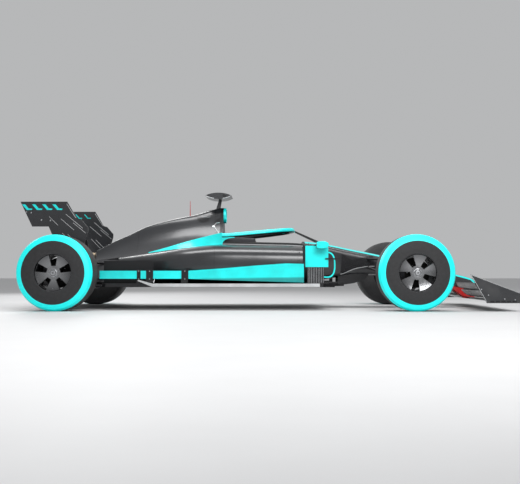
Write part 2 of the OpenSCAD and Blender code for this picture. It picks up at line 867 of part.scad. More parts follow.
// Rear endplate outline: distance ahead of the axle, height from the top; then the tail corner's cut
REAR_PLATE = [[22, 0], [111, -152], [151, -164], [216, -239], [216, -271], [186, -377], [110, -470],
    [-40, -470], [-146, -229]];
tail_l = 110;
gills = 4;
gill_pitch = 93;
gill_x = 30;
gill_z = 28;
GILL = [[0, 0], [14, 0], [44, -36], [74, -36], [74, -46], [38, -46]];
module rear_wing_endplates() {
    color(graphite)
        pair()
            plate(rear_span, rear_span + plate_t)
                difference() {
                    polygon(concat([[tail_x, rear_wing_z]],
                        [for (p = REAR_PLATE) [xr + p[0], rear_wing_z + p[1]]],
                        [[tail_x + tail_l, rear_wing_z + REAR_PLATE[len(REAR_PLATE) - 1][1]]]));
                    for (i = [0 : gills - 1])
                        translate([tail_x + gill_x + i * gill_pitch, rear_wing_z - gill_z])
                            polygon(GILL);
                }
}

// Gearbox side view: distance behind the engine or the axle, heights
gear_half = 120;
engine_l = 560;
gear_front = cover_front - engine_l;
gear_back = 130;
gear_rear = xr - gear_back;
gear_low = floor_top + 6;
gear_z0 = 515;
gear_z1 = 430;
function gear_top(x) = gear_z0 + (gear_z1 - gear_z0) * (gear_front - x) / (gear_front - gear_rear);
pylon_half = 70;
wing_pylon_t = 16;
// Upper part of a wing pylon: distance ahead of the axle, height from the endplate's top; then its feet
WING_PYLON = [[60, -330], [-90, -170], [-190, -150], [-110, -330]];
PYLON_FEET = [90, -40];
pylon_cut = [300, 196, 260, 120];
function pylon_toe(d) = [xr + d, gear_top(xr + d) + seat_gap];
module rear_wing_pylons() {
    color(black)
        pair()
            plate(pylon_half - wing_pylon_t / 2, pylon_half + wing_pylon_t / 2)
                difference() {
                    polygon(concat([pylon_toe(PYLON_FEET[0])],
                        [for (p = WING_PYLON) [xr + p[0], rear_wing_z + p[1]]],
                        [pylon_toe(PYLON_FEET[1])]));
                    rear_element(REAR_MAIN);
                    translate([xr - pylon_cut[0], rear_wing_z - pylon_cut[1]])
                        square([pylon_cut[2], pylon_cut[3]]);
                }
}

/* Power train and suspension */

engine_half = 200;
engine_top = 560;
engine_side = 160;
engine_slope = 80;
module power_unit() {
    block = [[engine_half, floor_top], [engine_half, floor_top + engine_side],
        [engine_half - engine_slope, engine_top]];
    color(metal)
        slab(gear_front, cover_front - gear_front)
            polygon(concat(block, [for (p = back(block)) [-p[0], p[1]]]));
}

cup_r = 40;
cup_fit = 1;
cup_depth = 24;
cup_wall = 14;
cup_end = 7;
boss_l = 20;
gear_rise = 70;
gear_cut = 120;
module gearbox() {
    color(metal)
        difference() {
            union() {
                plate(-gear_half, gear_half)
                    polygon([[gear_front, gear_low], [gear_front, gear_z0], [gear_rear, gear_z1],
                        [gear_rear, gear_low + gear_rise], [gear_rear + gear_cut, gear_low]]);
                pair()
                    translate([xr, gear_half + boss_l, tyre_r])
                        rotate([90, 0, 0])
                            cylinder(h = boss_l, r = cup_r + cup_wall);
            }
            pair()
                translate([xr, gear_half + boss_l + 1, tyre_r])
                    rotate([90, 0, 0])
                        cylinder(h = cup_depth + cup_end, r = cup_r + cup_fit);
        }
}

pipe_r = 42;
pipe_t = 3;
pipe_l = 250;
pipe_gap = 8;
pipe_end = 40;
module exhaust() {
    x1 = cover_rear - pipe_gap;
    color(metal)
        translate([x1 - pipe_l, 0, gear_top(x1) + pipe_r + seat_gap])
            rotate([0, 90, 0])
                difference() {
                    cylinder(h = pipe_l, r = pipe_r);
                    translate([0, 0, -1])
                        cylinder(h = pipe_l - pipe_end, r = pipe_r - pipe_t);
                }
}

crash_l = 250;
crash_z = 372;
crash_e = 4;
// Half width and half height of the crash structure at its front and rear
CRASH = [[76, 55], [42, 37]];
module crash_structure() {
    color(black)
        loft([for (s = shares(4))
            let (d = CRASH[0] + (CRASH[1] - CRASH[0]) * s)
            ring(gear_rear - crash_l * s,
                [for (p = oval(d[0], d[1], crash_e, 24)) [p[0], p[1] + crash_z]])]);
}

light_w = 56;
light_h = 60;
light_t = 16;
light_e = 5;
module rear_light() {
    color(red)
        slab(gear_rear - crash_l - light_t, light_t)
            translate([0, crash_z])
                polygon(oval(light_w / 2, light_h / 2, light_e, 24));
}

// Inner ends of a corner's links: distance ahead of the axle, height, on the upper or lower ball
FRONT_LINKS = [[30, 405, 1], [-330, 470, 1], [30, 340, -1], [-330, 388, -1]];
REAR_LINKS = [[260, 430, 1], [-90, 410, 1], [260, 285, -1], [-90, 285, -1]];
ball_r = 14;
rear_low = 70;
rod_in = 34;
rod_rise = 6;
rocker_back = 60;
rocker_z = 440;
function lean(x, z) = atan(side_y(x, z - 1) - side_y(x, z));
function pickup_y(x, z) = side_y(x, z) + (ball_r + 2 * seat_gap) / cos(lean(x, z));
module front_links() {
    foot = [xf, king_y - rod_in, tyre_r - ball_h + rod_rise];
    rocker_x = xf - rocker_back;
    color(black)
        pair() {
            for (k = FRONT_LINKS)
                bar([xf, king_y, tyre_r + k[2] * ball_h],
                    [xf + k[0], pickup_y(xf + k[0], k[1]), k[1]], link_r, ball_r);
            bar(foot, [rocker_x, pickup_y(rocker_x, rocker_z), rocker_z], link_r, ball_r);
        }
}

boot_l = 75;
boot_r = 24;
rod_r = 9;
rod_fit = 1;
boot_end = 10;
boot_y = at(TUB, 1, tub_u(xf + arm_l - boot_r * 0.75)) + seat_gap;
module steering_boots() {
    color(rubber)
        pair()
            translate([xf + arm_l, boot_y + boot_l, tyre_r + rod_h])
                rotate([90, 0, 0])
                    difference() {
                        cylinder(h = boot_l, r = boot_r);
                        translate([0, 0, -1])
                            cylinder(h = boot_l - boot_end, r = rod_r + rod_fit);
                    }
}

upright_y = rear_y - kingpin_offset;
upright_h = 78;
upright_half = 20;
upright_l = 110;
post_r = 10;
post_h = 8;
bearing_fit = 0.6;
module rear_links() {
    color(black)
        pair()
            for (k = REAR_LINKS)
                bar([xr, upright_y, tyre_r + (k[2] > 0 ? ball_h : -rear_low - ball_r - post_h)],
                    [xr + k[0], gear_half + ball_r + seat_gap, k[1]], link_r, ball_r);
}

module rear_uprights() {
    color(metal)
        pair()
            difference() {
                translate([xr, upright_y, tyre_r])
                    union() {
                        translate([-upright_l / 2, -upright_half, -rear_low])
                            cube([upright_l, 2 * upright_half, rear_low + upright_h]);
                        translate([0, 0, upright_h])
                            cylinder(h = ball_h - ball_r - seat_gap - upright_h, r = post_r);
                        translate([0, 0, -rear_low - post_h + seat_gap])
                            cylinder(h = post_h, r = post_r);
                    }
                translate([xr, upright_y, tyre_r])
                    rotate([90, 0, 0])
                        cylinder(h = 3 * upright_half, r = axle_r + bearing_fit, center = true);
            }
}

/* Steering */

grip_half = 135;
grip_h = 78;
grip_t = 34;
grip_e = 3.4;
hand_in = 52;
hand_up = 4;
hand_w = 24;
hand_h = 40;
module steering_wheel() {
    color(black)
        translate([wheel_x, 0, wheel_z])
            rotate([0, wheel_rake, 0]) {
                slab(-grip_t / 2, grip_t)
                    difference() {
                        polygon(oval(grip_half, grip_h, grip_e, 40));
                        for (s = [-1, 1])
                            translate([s * (grip_half - hand_in), hand_up])
                                polygon(oval(hand_w, hand_h, 3, 24));
                    }
                rotate([0, 90, 0])
                    cylinder(h = column_l, r = column_r);
            }
}

eye_r = 20;
eye_h = 14;
pin_r = 6;
pin_fit = 5;
sleeve_l = 38;
rod_step = 2.5;
eye_sink = 3;
module steering_rack() {
    rod_root = boot_y + boot_l - sleeve_l;
    rod_tip = king_y - eye_r + eye_sink;
    color(metal)
        pair()
            translate([xf + arm_l, 0, tyre_r + rod_h]) {
                translate([0, rod_tip, 0])
                    rotate([90, 0, 0])
                        cylinder(h = rod_tip - rod_root, r = rod_r - rod_step);
                translate([0, rod_root + sleeve_l, 0])
                    rotate([90, 0, 0])
                        cylinder(h = sleeve_l, r = rod_r);
                difference() {
                    translate([0, king_y, -eye_h / 2])
                        cylinder(h = eye_h, r = eye_r);
                    translate([0, king_y, -eye_h])
                        cylinder(h = 2 * eye_h, r = pin_r + pin_fit);
                }
            }
}

arm_gap = 5;
arm_t = 10;
arm_w = 24;
arm_end = 14;
block_l = 76;
king_r = 9;
king_fit = 0.1;
flange_r = 60;
flange_t = 14;
stub_in = 52;
stub_end = front_tyre_w / 2 - stub_in;
module knuckle() {
    arm_top = rod_h - eye_h / 2 - arm_gap;
    pin_l = ball_h - ball_r - seat_gap - king_fit;
    color(metal)
        translate([xf, king_y, tyre_r]) {
            translate([-block_l / 2, -upright_half, -upright_h])
                cube([block_l, 2 * upright_half, 2 * upright_h]);
            for (s = [0, 1])
                mirror([0, 0, s])
                    translate([0, 0, upright_h])
                        cylinder(h = pin_l - upright_h, r = king_r);
            translate([0, upright_half, 0])
                rotate([-90, 0, 0])
                    cylinder(h = flange_t, r = flange_r);
            translate([0, upright_half + flange_t, 0])
                rotate([-90, 0, 0])
                    cylinder(h = kingpin_offset + stub_end - upright_half - flange_t, r = axle_r);
            translate([block_l / 2, -arm_w / 2, arm_top - arm_t])
                cube([arm_l - block_l / 2 + arm_end, arm_w, arm_t]);
            translate([arm_l, 0, arm_top])
                cylinder(h = eye_h + 2 * arm_gap, r = pin_r);
        }
}
module knuckle_left() {
    knuckle();
}
module knuckle_right() {
    mirror([0, 1, 0])
        knuckle();
}

/* Wheels */

// A wheel piece at one corner: axle x, wheel middle y, side of the car
module corner(x, y, s) {
    mirror([0, s < 0 ? 1 : 0, 0])
        translate([x, y, tyre_r])
            rotate([-90, 0, 0])
                children();
}

module tyre(w) {
    bend = shoulder * 0.3;
    edge = [[rim_r, w / 2], [tyre_r - shoulder, w / 2], [tyre_r - bend, w / 2 - bend],
        [tyre_r, w / 2 - shoulder]];
    color(rubber)
        rotate_extrude($fn = 96)
            polygon(concat([for (p = edge) [p[0], -p[1]]], back(edge)));
}

rim_wall = 14;
lip = 9;
lip_in = 8;
dish = 30;
disc_t = 32;
hub_r = 50;
hub_in = 20;
hub_out = 10;
nut_r = 36;
nut_t = 14;
bore_end = 7;
window_in = 60;
window_near = 37;
window_far = 73;
window_edge = 3;
front_turn = 26;
rear_turn = 54;
shaft_gap = 13;
module rim(w, driven, first) {
    bead_r = rim_r - seat_gap;
    wall_r = bead_r - rim_wall;
    face = w / 2 - dish;
    color(metal)
        difference() {
            union() {
                rotate_extrude($fn = 96)
                    polygon([[wall_r, -w / 2], [bead_r, -w / 2], [bead_r, w / 2], [bead_r - lip, w / 2],
                        [wall_r, w / 2 - lip_in]]);
                translate([0, 0, face - disc_t])
                    linear_extrude(disc_t)
                        difference() {
                            circle(r = wall_r + 1);
                            for (i = [0 : spokes - 1])
                                rotate(first + 360 * i / spokes)
                                    wheel_window(wall_r - window_edge);
                        }
                translate([0, 0, -hub_in])
                    cylinder(h = hub_in + face + hub_out, r = hub_r);
                translate([0, 0, face + hub_out])
                    cylinder(h = nut_t, r = nut_r, $fn = 6);
                if (driven)
                    translate([0, 0, -kingpin_offset - upright_half - shaft_gap])
                        cylinder(h = kingpin_offset + upright_half, r = axle_r);
            }
            if (!driven)
                translate([0, 0, -hub_in - 1])
                    cylinder(h = hub_in + 1 + stub_end + bore_end, r = axle_r + bearing_fit);
        }
}
module wheel_window(r) {
    half = asin(window_far / 2 / r);
    polygon(concat([[window_in, -window_near / 2], [window_in, window_near / 2]],
        [for (k = [1 : -0.25 : -1]) r * [cos(k * half), sin(k * half)]]));
}

shaft_r = 20;
cup_neck = 40;
cup_l = 60;
module driveshaft() {
    y0 = gear_half + boss_l - cup_depth + 4;
    y1 = upright_y - upright_half - shaft_gap;
    color(metal)
        translate([xr, 0, tyre_r])
            rotate([-90, 0, 0]) {
                translate([0, 0, y0])
                    cylinder(h = y1 - y0, r = shaft_r);
                translate([0, 0, y0])
                    cylinder(h = cup_depth + cup_neck, r = cup_r);
                translate([0, 0, y1 - cup_l])
                    cylinder(h = cup_l, r = cup_r);
            }
}

module tyre_front_left() { corner(xf, front_y, 1) tyre(front_tyre_w); }
module tyre_front_right() { corner(xf, front_y, -1) tyre(front_tyre_w); }
module tyre_rear_left() { corner(xr, rear_y, 1) tyre(rear_tyre_w); }
module tyre_rear_right() { corner(xr, rear_y, -1) tyre(rear_tyre_w); }
module rim_front_left() { corner(xf, front_y, 1) rim(front_tyre_w, false, front_turn); }
module rim_front_right() { corner(xf, front_y, -1) rim(front_tyre_w, false, front_turn); }
module rim_rear_left() { corner(xr, rear_y, 1) rim(rear_tyre_w, true, rear_turn); }
module rim_rear_right() { corner(xr, rear_y, -1) rim(rear_tyre_w, true, rear_turn); }
module driveshaft_left() { driveshaft(); }
module driveshaft_right() { mirror([0, 1, 0]) driveshaft(); }

monocoque();
nose_deck();
nose_cone();
nose_pylons();
front_wing_main();
front_wing_flaps();
front_wing_endplates();
dash();
roll_hoop();
engine_cover();
airbox_lip();
camera_pod();
antenna();
halo();
halo_fairings();
headrest();
seat();
mirrors();
sidepods();
side_rails();
floor();
plank();
diffuser();
deflector_panels();
deflector_slats();
nose_vanes();
front_links();
steering_boots();
rear_links();
rear_uprights();
power_unit();
gearbox();
exhaust();
crash_structure();
rear_light();
rear_wing_main();
rear_wing_flap();
rear_wing_endplates();
rear_wing_pylons();
steering_wheel();
steering_rack();
knuckle_left();
knuckle_right();
tyre_front_left();
tyre_front_right();
tyre_rear_left();
tyre_rear_right();
rim_front_left();
rim_front_right();
rim_rear_left();
rim_rear_right();
driveshaft_left();
driveshaft_right();
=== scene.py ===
"""Looks of a single-seat open wheel racing car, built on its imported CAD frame."""

import math

import bmesh
import bpy
from bpy.props import FloatProperty, FloatVectorProperty, IntProperty, PointerProperty
from mathutils import Matrix, Vector
from mathutils.bvhtree import BVHTree


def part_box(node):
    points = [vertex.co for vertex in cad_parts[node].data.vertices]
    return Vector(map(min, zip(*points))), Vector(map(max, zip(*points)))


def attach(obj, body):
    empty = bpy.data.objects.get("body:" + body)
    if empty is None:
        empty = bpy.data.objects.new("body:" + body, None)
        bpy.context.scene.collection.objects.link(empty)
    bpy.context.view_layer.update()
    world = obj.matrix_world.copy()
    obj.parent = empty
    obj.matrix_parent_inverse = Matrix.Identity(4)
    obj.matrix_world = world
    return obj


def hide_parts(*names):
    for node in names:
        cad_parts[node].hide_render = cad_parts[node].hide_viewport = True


bl_info = {
    "name": "Open Wheel Racing Car",
    "version": (1, 0, 0),
    "blender": (4, 5, 0),
    "location": "View3D > Sidebar > Racing Car",
    "description": "Finishes, fittings and studio for a single-seat racing car",
    "category": "Object",
}

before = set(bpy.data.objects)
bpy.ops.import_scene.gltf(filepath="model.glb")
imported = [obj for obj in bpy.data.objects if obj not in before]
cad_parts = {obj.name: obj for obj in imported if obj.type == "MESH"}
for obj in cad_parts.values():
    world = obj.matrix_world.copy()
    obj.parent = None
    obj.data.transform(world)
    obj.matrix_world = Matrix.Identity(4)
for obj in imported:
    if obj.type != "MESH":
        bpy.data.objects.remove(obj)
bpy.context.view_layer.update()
CORNERS = ("front_left", "front_right", "rear_left", "rear_right")

# The photo's width and the focal length that fits it, in pixels
PHOTO_W = 520
FOCAL_PX = 810.0
SENSOR_MM = 36.0


def node_box(name):
    """Lowest and highest corner of a CAD node."""
    low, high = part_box(name)
    return Vector(low), Vector(high)


def wheel_centre(corner):
    """Middle of a wheel, from its tyre."""
    low, high = node_box("tyre_" + corner)
    return (low + high) / 2


def side_of(corner):
    """+1 on the car's left, -1 on its right."""
    return 1.0 if corner.endswith("left") else -1.0


TYRE_LOW, TYRE_HIGH = node_box("tyre_front_left")
TYRE_R = (TYRE_HIGH.z - TYRE_LOW.z) / 2
RIM_LOW, RIM_HIGH = node_box("rim_front_left")
RIM_R = (RIM_HIGH.z - RIM_LOW.z) / 2


class CarSizes(bpy.types.PropertyGroup):
    """Sizes of the fittings that a user would change."""

    band_width: FloatProperty(
        name="Tyre band", description="Width of the coloured band on the tyre's shoulder",
        default=0.0575, unit="LENGTH")
    stripe_inside: FloatProperty(
        name="Stripe inside", default=0.5, subtype="FACTOR",
        description="Inner edge of the nose stripes, as a share of the nose's half width")
    stripe_drop: FloatProperty(
        name="Stripe drop", description="Lower edge of the nose stripes below the nose's top line",
        default=0.021, unit="LENGTH")
    seam_width: FloatProperty(
        name="Seam", description="Width of the gaps between body panels",
        default=0.004, unit="LENGTH")
    fastener_r: FloatProperty(
        name="Fastener", description="Radius of the panel fasteners",
        default=0.006, unit="LENGTH")
    nut_lugs: IntProperty(
        name="Nut lugs", description="Lugs round each wheel nut", default=8, min=4)
    camera_back: FloatProperty(
        name="Camera distance", description="Camera to the middle of the car",
        default=8.0, unit="LENGTH")


class CarColours(bpy.types.PropertyGroup):
    """Colours of the finishes, as linear values."""

    graphite: FloatVectorProperty(
        name="Body", description="Dark body paint", subtype="COLOR", default=(0.026, 0.027, 0.030))
    accent: FloatVectorProperty(
        name="Accent", description="Bright accent paint", subtype="COLOR", default=(0.005, 0.86, 0.84))
    carbon: FloatVectorProperty(
        name="Carbon", description="Bare carbon panels", subtype="COLOR", default=(0.006, 0.006, 0.007))
    red: FloatVectorProperty(
        name="Red", description="Red pylons and aerial", subtype="COLOR", default=(0.55, 0.012, 0.012))
    rubber: FloatVectorProperty(
        name="Rubber", description="Tyre rubber", subtype="COLOR", default=(0.016, 0.016, 0.017))
    alloy: FloatVectorProperty(
        name="Alloy", description="Machined alloy", subtype="COLOR", default=(0.50, 0.51, 0.53))
    wheel: FloatVectorProperty(
        name="Wheel", description="Wheel alloy", subtype="COLOR", default=(0.40, 0.405, 0.415))
    cloth: FloatVectorProperty(
        name="Cloth", description="Headrest cloth", subtype="COLOR", default=(0.022, 0.022, 0.025))
    floor: FloatVectorProperty(
        name="Studio floor", description="Pale studio floor", subtype="COLOR", default=(0.58, 0.58, 0.585))


def sizes():
    """The sizes in use."""
    return bpy.context.scene.car_sizes


def colours():
    """The colours in use."""
    return bpy.context.scene.car_colours


class Nodes:
    """A shader tree that grows; a value may be a socket, a number or a colour."""

    def __init__(self, tree, vector):
        self.tree = tree
        self.vector = vector

    def feed(self, socket, value):
        """Links a socket to another one, or sets its value."""
        if isinstance(value, bpy.types.NodeSocket):
            self.tree.links.new(value, socket)
        elif socket.type == "RGBA":
            socket.default_value = (*value, 1.0)
        else:
            socket.default_value = value

    def math(self, kind, *values, family="ShaderNodeMath", output=0):
        """A math node, or a vector math node."""
        node = self.tree.nodes.new(family)
        node.operation = kind
        for socket, value in zip(node.inputs, values):
            self.feed(socket, value)
        return node.outputs[output]

    def fold(self, kind, first, *others):
        """One math operation from value to value."""
        for value in others:
            first = self.math(kind, first, value)
        return first

    def ramp(self, value, low, high, to_low=0.0, to_high=1.0):
        """A clamped map range."""
        node = self.tree.nodes.new("ShaderNodeMapRange")
        for socket, item in zip(node.inputs, (value, low, high, to_low, to_high)):
            self.feed(socket, item)
        return node.outputs[0]

    def mix(self, share, first, second):
        """A mix of two colours."""
        node = self.tree.nodes.new("ShaderNodeMix")
        node.data_type = "RGBA"
        for index, item in ((0, share), (6, first), (7, second)):
            self.feed(node.inputs[index], item)
        return node.outputs[2]

    def axis(self, index, vector=None):
        """One coordinate of the surface point, or of another vector."""
        split = self.tree.nodes.new("ShaderNodeSeparateXYZ")
        self.feed(split.inputs[0], self.vector if vector is None else vector)
        return split.outputs[index]

    def noise(self, scale, detail):
        """Plain noise."""
        node = self.tree.nodes.new("ShaderNodeTexNoise")
        for label, value in (("Vector", self.vector), ("Scale", scale), ("Detail", detail)):
            self.feed(node.inputs[label], value)
        return node.outputs[0]

    def group(self, name, **values):
        """The outputs of a shared group."""
        node = self.tree.nodes.new("ShaderNodeGroup")
        node.node_tree = GROUPS[name]
        self.feed(node.inputs["Vector"], self.vector)
        for label, value in values.items():
            self.feed(node.inputs[label], value)
        return node.outputs

    def grain(self, scale, low=0.0, high=1.0):
        """The grain group's value between two limits."""
        return self.group("grain", Scale=scale, Low=low, High=high)["Value"]

    def height_along(self, line):
        """A line's height at the surface point's X, as a sum of straight pieces of (x, height)."""
        total = line[0][1]
        along = self.axis(0)
        for (x0, z0), (x1, z1) in zip(line, line[1:]):
            total = self.math("ADD", total, self.ramp(along, x0, x1, 0.0, z1 - z0))
        return total


# Shared shader groups

GROUPS = {}


def new_group(name, outputs, **inputs):
    """An empty shader group: its tree, its inputs with their defaults, and its outputs, all values."""
    tree = bpy.data.node_groups.new(name, "ShaderNodeTree")
    for label, default in {"Vector": (0.0, 0.0, 0.0), **inputs}.items():
        kind = "NodeSocketFloat" if isinstance(default, float) else "NodeSocketVector"
        socket = tree.interface.new_socket(label, in_out="INPUT", socket_type=kind)
        socket.default_value = default
    for label in outputs:
        tree.interface.new_socket(label, in_out="OUTPUT", socket_type="NodeSocketFloat")
    source = tree.nodes.new("NodeGroupInput").outputs
    return Nodes(tree, source["Vector"]), source, tree.nodes.new("NodeGroupOutput").inputs


def grain_group():
    """Noise at one scale: a value between two limits, and the raw height."""
    nodes, source, out = new_group("Fine grain", ("Value", "Height"), Scale=80.0, Low=0.0, High=1.0)
    height = nodes.noise(source["Scale"], 5.0)
    nodes.feed(out["Value"], nodes.ramp(height, 0.3, 0.7, source["Low"], source["High"]))
    nodes.feed(out["Height"], height)
    return nodes.tree


def weave_group():
    """Two by two twill of carbon tows over the surface."""
    nodes, source, out = new_group("Carbon twill", ("Warp", "Height"), Tow=0.004)
    along = nodes.math("DIVIDE", nodes.axis(0), source["Tow"])
    across = nodes.math("DIVIDE", nodes.math("ADD", nodes.axis(1), nodes.axis(2)), source["Tow"])
    step = nodes.math("ADD", nodes.math("FLOOR", along), nodes.math("FLOOR", across))
    warp = nodes.math("LESS_THAN", nodes.math("FLOORED_MODULO", step, 4.0), 1.5)
    wave_a, wave_b = (nodes.math("ABSOLUTE", nodes.math("SINE", nodes.math("MULTIPLY", way, math.pi)))
                      for way in (along, across))
    nodes.feed(out["Warp"], warp)
    nodes.feed(out["Height"], nodes.math("MAXIMUM", nodes.math("MULTIPLY", warp, wave_a), wave_b))
    return nodes.tree


def dust_group():
    """Pale road dust that fades out with height, broken up by noise."""
    nodes, source, out = new_group("Road dust", ("Mask",), Low=0.2, High=0.5, Amount=0.3)
    fade = nodes.ramp(nodes.axis(2), source["Low"], source["High"], 1.0, 0.0)
    patch = nodes.ramp(nodes.noise(9.0, 6.0), 0.42, 0.75)
    nodes.feed(out["Mask"], nodes.fold("MULTIPLY", fade, patch, source["Amount"]))
    return nodes.tree


def turned_group():
    """Fine rings round an axle at a point, as a lathe leaves them: radius, and a height."""
    nodes, source, out = new_group("Turned rings", ("Radius", "Height"), Centre=(0.0, 0.0, 0.0),
                                   Pitch=0.002)
    kind = "ShaderNodeVectorMath"
    offset = nodes.math("SUBTRACT", source["Vector"], source["Centre"], family=kind)
    flat = nodes.math("MULTIPLY", offset, (1.0, 0.0, 1.0), family=kind)
    radius = nodes.math("LENGTH", flat, family=kind, output="Value")
    turns = nodes.math("DIVIDE", radius, source["Pitch"])
    nodes.feed(out["Radius"], radius)
    nodes.feed(out["Height"], nodes.math("SINE", nodes.math("MULTIPLY", turns, 2 * math.pi)))
    return nodes.tree


# Materials

MATS = {}
PAINT_DUST, CARBON_DUST = (0.20, 0.19, 0.18), (0.16, 0.15, 0.14)
EDGE_BLUR = 0.0008
# Glow of the tyres' bright band: painted light, as the band is no lamp
BAND_GLOW = 0.12
PRISM_PITCH = 0.008


def scaled(colour, factor):
    """A colour made darker or lighter."""
    return tuple(min(1.0, c * factor) for c in colour)


class Finish(Nodes):
    """A new material round the principled shader, in object coordinates."""

    def __init__(self, name, **values):
        self.mat = MATS[name] = bpy.data.materials.new(name)
        self.mat.use_nodes = True
        tree = self.mat.node_tree
        self.shader = tree.nodes["Principled BSDF"].inputs
        for label, value in values.items():
            self.shader[label.replace("_", " ")].default_value = value
        self.source = tree.nodes.new("ShaderNodeTexCoord").outputs
        super().__init__(tree, self.source["Object"])

    def done(self, base, rough=None, bump=None):
        """Wires in the colour, the roughness and a bump of (height, strength, distance)."""
        self.feed(self.shader["Base Color"], base)
        if rough is not None:
            self.feed(self.shader["Roughness"], rough)
        if bump is not None:
            node = self.tree.nodes.new("ShaderNodeBump")
            for label, value in zip(("Height", "Strength", "Distance"), bump):
                self.feed(node.inputs[label], value)
            self.feed(self.shader["Normal"], node.outputs[0])


def edge_line(nodes, measure, count=14):
    """Largest measure of some nodes' points along the car, as (x, value) from the rear forward."""
    most = {}
    for node in nodes:
        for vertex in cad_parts[node].data.vertices:
            key = round(vertex.co.x, 4)
            most[key] = max(most.get(key, 0.0), measure(vertex.co))
    stations = sorted(most)
    picked = stations[::max(1, len(stations) // count)]
    if picked[-1] != stations[-1]:
        picked.append(stations[-1])
    return [(x, most[x]) for x in picked]


def stripe_mask(look, nodes):
    """The bands along both upper edges of the nose."""
    top = look.height_along(edge_line(nodes, lambda p: p.z))
    wide = look.height_along(edge_line(nodes, lambda p: abs(p.y)))
    low = sizes().stripe_drop
    lower = look.ramp(look.math("SUBTRACT", top, look.axis(2)), low, low + EDGE_BLUR, 1.0, 0.0)
    inside = look.math("MULTIPLY", wide, sizes().stripe_inside)
    off = look.math("SUBTRACT", look.math("ABSOLUTE", look.axis(1)), inside)
    return look.math("MULTIPLY", look.ramp(off, 0.0, EDGE_BLUR), lower)


def seam_mask(look, seams):
    """Thin lines round the body at some values of X."""
    half = sizes().seam_width / 2
    offs = [look.math("ABSOLUTE", look.math("SUBTRACT", look.axis(0), seam)) for seam in seams]
    return look.fold("MAXIMUM", *(look.ramp(off, half * 0.7, half, 1.0, 0.0) for off in offs))


def pillar_and_shade_mask(look):
    """The halo's black centre pillar, and painted shade on the underside and inside of its hoop, picked by
    the way each face points.
    """
    hoop_x = 0.2965
    hoop_z = node_box("halo")[1].z - 0.0485
    middle = look.ramp(look.math("ABSOLUTE", look.axis(1)), 0.0174, 0.0178, 1.0, 0.0)
    ahead = look.math("GREATER_THAN", look.axis(0), hoop_x)
    under = look.math("LESS_THAN", look.axis(2), hoop_z)
    pillar = look.math("MULTIPLY", middle, look.math("MAXIMUM", ahead, under))
    # painted shade: faces that point down, or in towards the car's middle, go black
    normal = look.source["Normal"]
    down = look.ramp(look.axis(2, normal), -0.40, -0.34, 1.0, 0.0)
    inward = look.math("MULTIPLY", look.axis(1, normal), look.axis(1))
    return look.fold("MAXIMUM", pillar, down, look.ramp(inward, -0.14, -0.12, 1.0, 0.0))


def rail_shade_and_posts_mask(look):
    """Painted shade on the lower part of the side rails, where they turn under, and the black posts under
    them.
    """
    edge = look.height_along(((-1.50, 0.268), (-0.75, 0.268), (-0.55, 0.284), (0.36, 0.298)))
    # painted shade: darker towards carbon black, up to 0.62 of the way, below a line along the rail
    turned = look.ramp(look.math("SUBTRACT", edge, look.axis(2)), -0.006, 0.010, 0.0, 0.62)
    behind = look.math("LESS_THAN", look.axis(0), -0.68)
    below = look.math("LESS_THAN", look.axis(2), 0.2818)
    return look.math("MAXIMUM", turned, look.math("MULTIPLY", behind, below))


def paint(name, colour, dust=0.12, stripe=(), seams=(), shade=None):
    """Gloss body paint with fine flake, slight orange peel, panel seams, dust low down, and black parts
    with painted shade from a mask where one is given.
    """
    look = Finish(name, Metallic=0.25, Coat_Weight=0.6, Coat_Roughness=0.16, IOR=1.5)
    dusty = look.group("dust", Low=0.18, High=0.42, Amount=dust)["Mask"]
    base = look.mix(look.grain(6.0), scaled(colour, 0.86), scaled(colour, 1.14))
    base = look.mix(dusty, base, PAINT_DUST)
    height = look.group("grain", Scale=240.0)["Height"]
    if stripe:
        base = look.mix(stripe_mask(look, stripe), base, colours().accent)
    # black parts and painted shade, both mixed towards carbon black
    if shade:
        base = look.mix(shade(look), base, colours().carbon)
    if seams:
        gap = seam_mask(look, seams)
        base = look.mix(gap, base, (0.002, 0.002, 0.002))
        height = look.math("SUBTRACT", height, look.math("MULTIPLY", gap, 12.0))
    rough = look.math("ADD", look.math("MULTIPLY", look.grain(900.0, 0.86, 1.14), 0.30), dusty)
    look.done(base, rough, (height, 0.04, 0.0006))


def carbon(name, gloss=0.38, dust=0.06):
    """Bare carbon twill under satin lacquer."""
    look = Finish(name, Coat_Weight=0.15, Coat_Roughness=0.18, Specular_IOR_Level=0.3)
    twill = look.group("weave", Tow=0.004)
    dark = colours().carbon
    base = look.mix(twill["Warp"], dark, scaled(dark, 2.2))
    base = look.mix(look.group("dust", Low=0.15, High=0.35, Amount=dust)["Mask"], base, CARBON_DUST)
    look.done(base, look.grain(40.0, gloss - 0.06, gloss + 0.08), (twill["Height"], 0.12, 0.0004))


def alloy(name, colour, rough=0.32):
    """Machined or cast alloy with a fine tooling grain and stains."""
    look = Finish(name, Metallic=1.0)
    base = look.mix(look.grain(18.0), scaled(colour, 0.72), colour)
    grain = look.group("grain", Scale=120.0, Low=rough - 0.08, High=rough + 0.12)
    look.done(base, grain["Value"], (grain["Height"], 0.08, 0.0008))


def wheel_alloy(corner):
    """Smooth turned wheel alloy, rings round its own axle, with painted shade that darkens it from the hub
    out to the barrel.
    """
    look = Finish("wheel_alloy_" + corner, Metallic=1.0)
    rings = look.group("turned", Centre=wheel_centre(corner), Pitch=0.0024)
    colour = colours().wheel
    base = look.mix(look.grain(22.0), scaled(colour, 0.85), colour)
    # painted shade: the colour falls off from pale at the hub to dark at the barrel, as a reflection would
    outer = look.ramp(rings["Radius"], 0.045, RIM_R, 0.0, 0.85)
    base = look.mix(outer, base, (0.045, 0.045, 0.047))
    look.done(base, look.grain(70.0, 0.14, 0.24), (rings["Height"], 0.012, 0.0003))


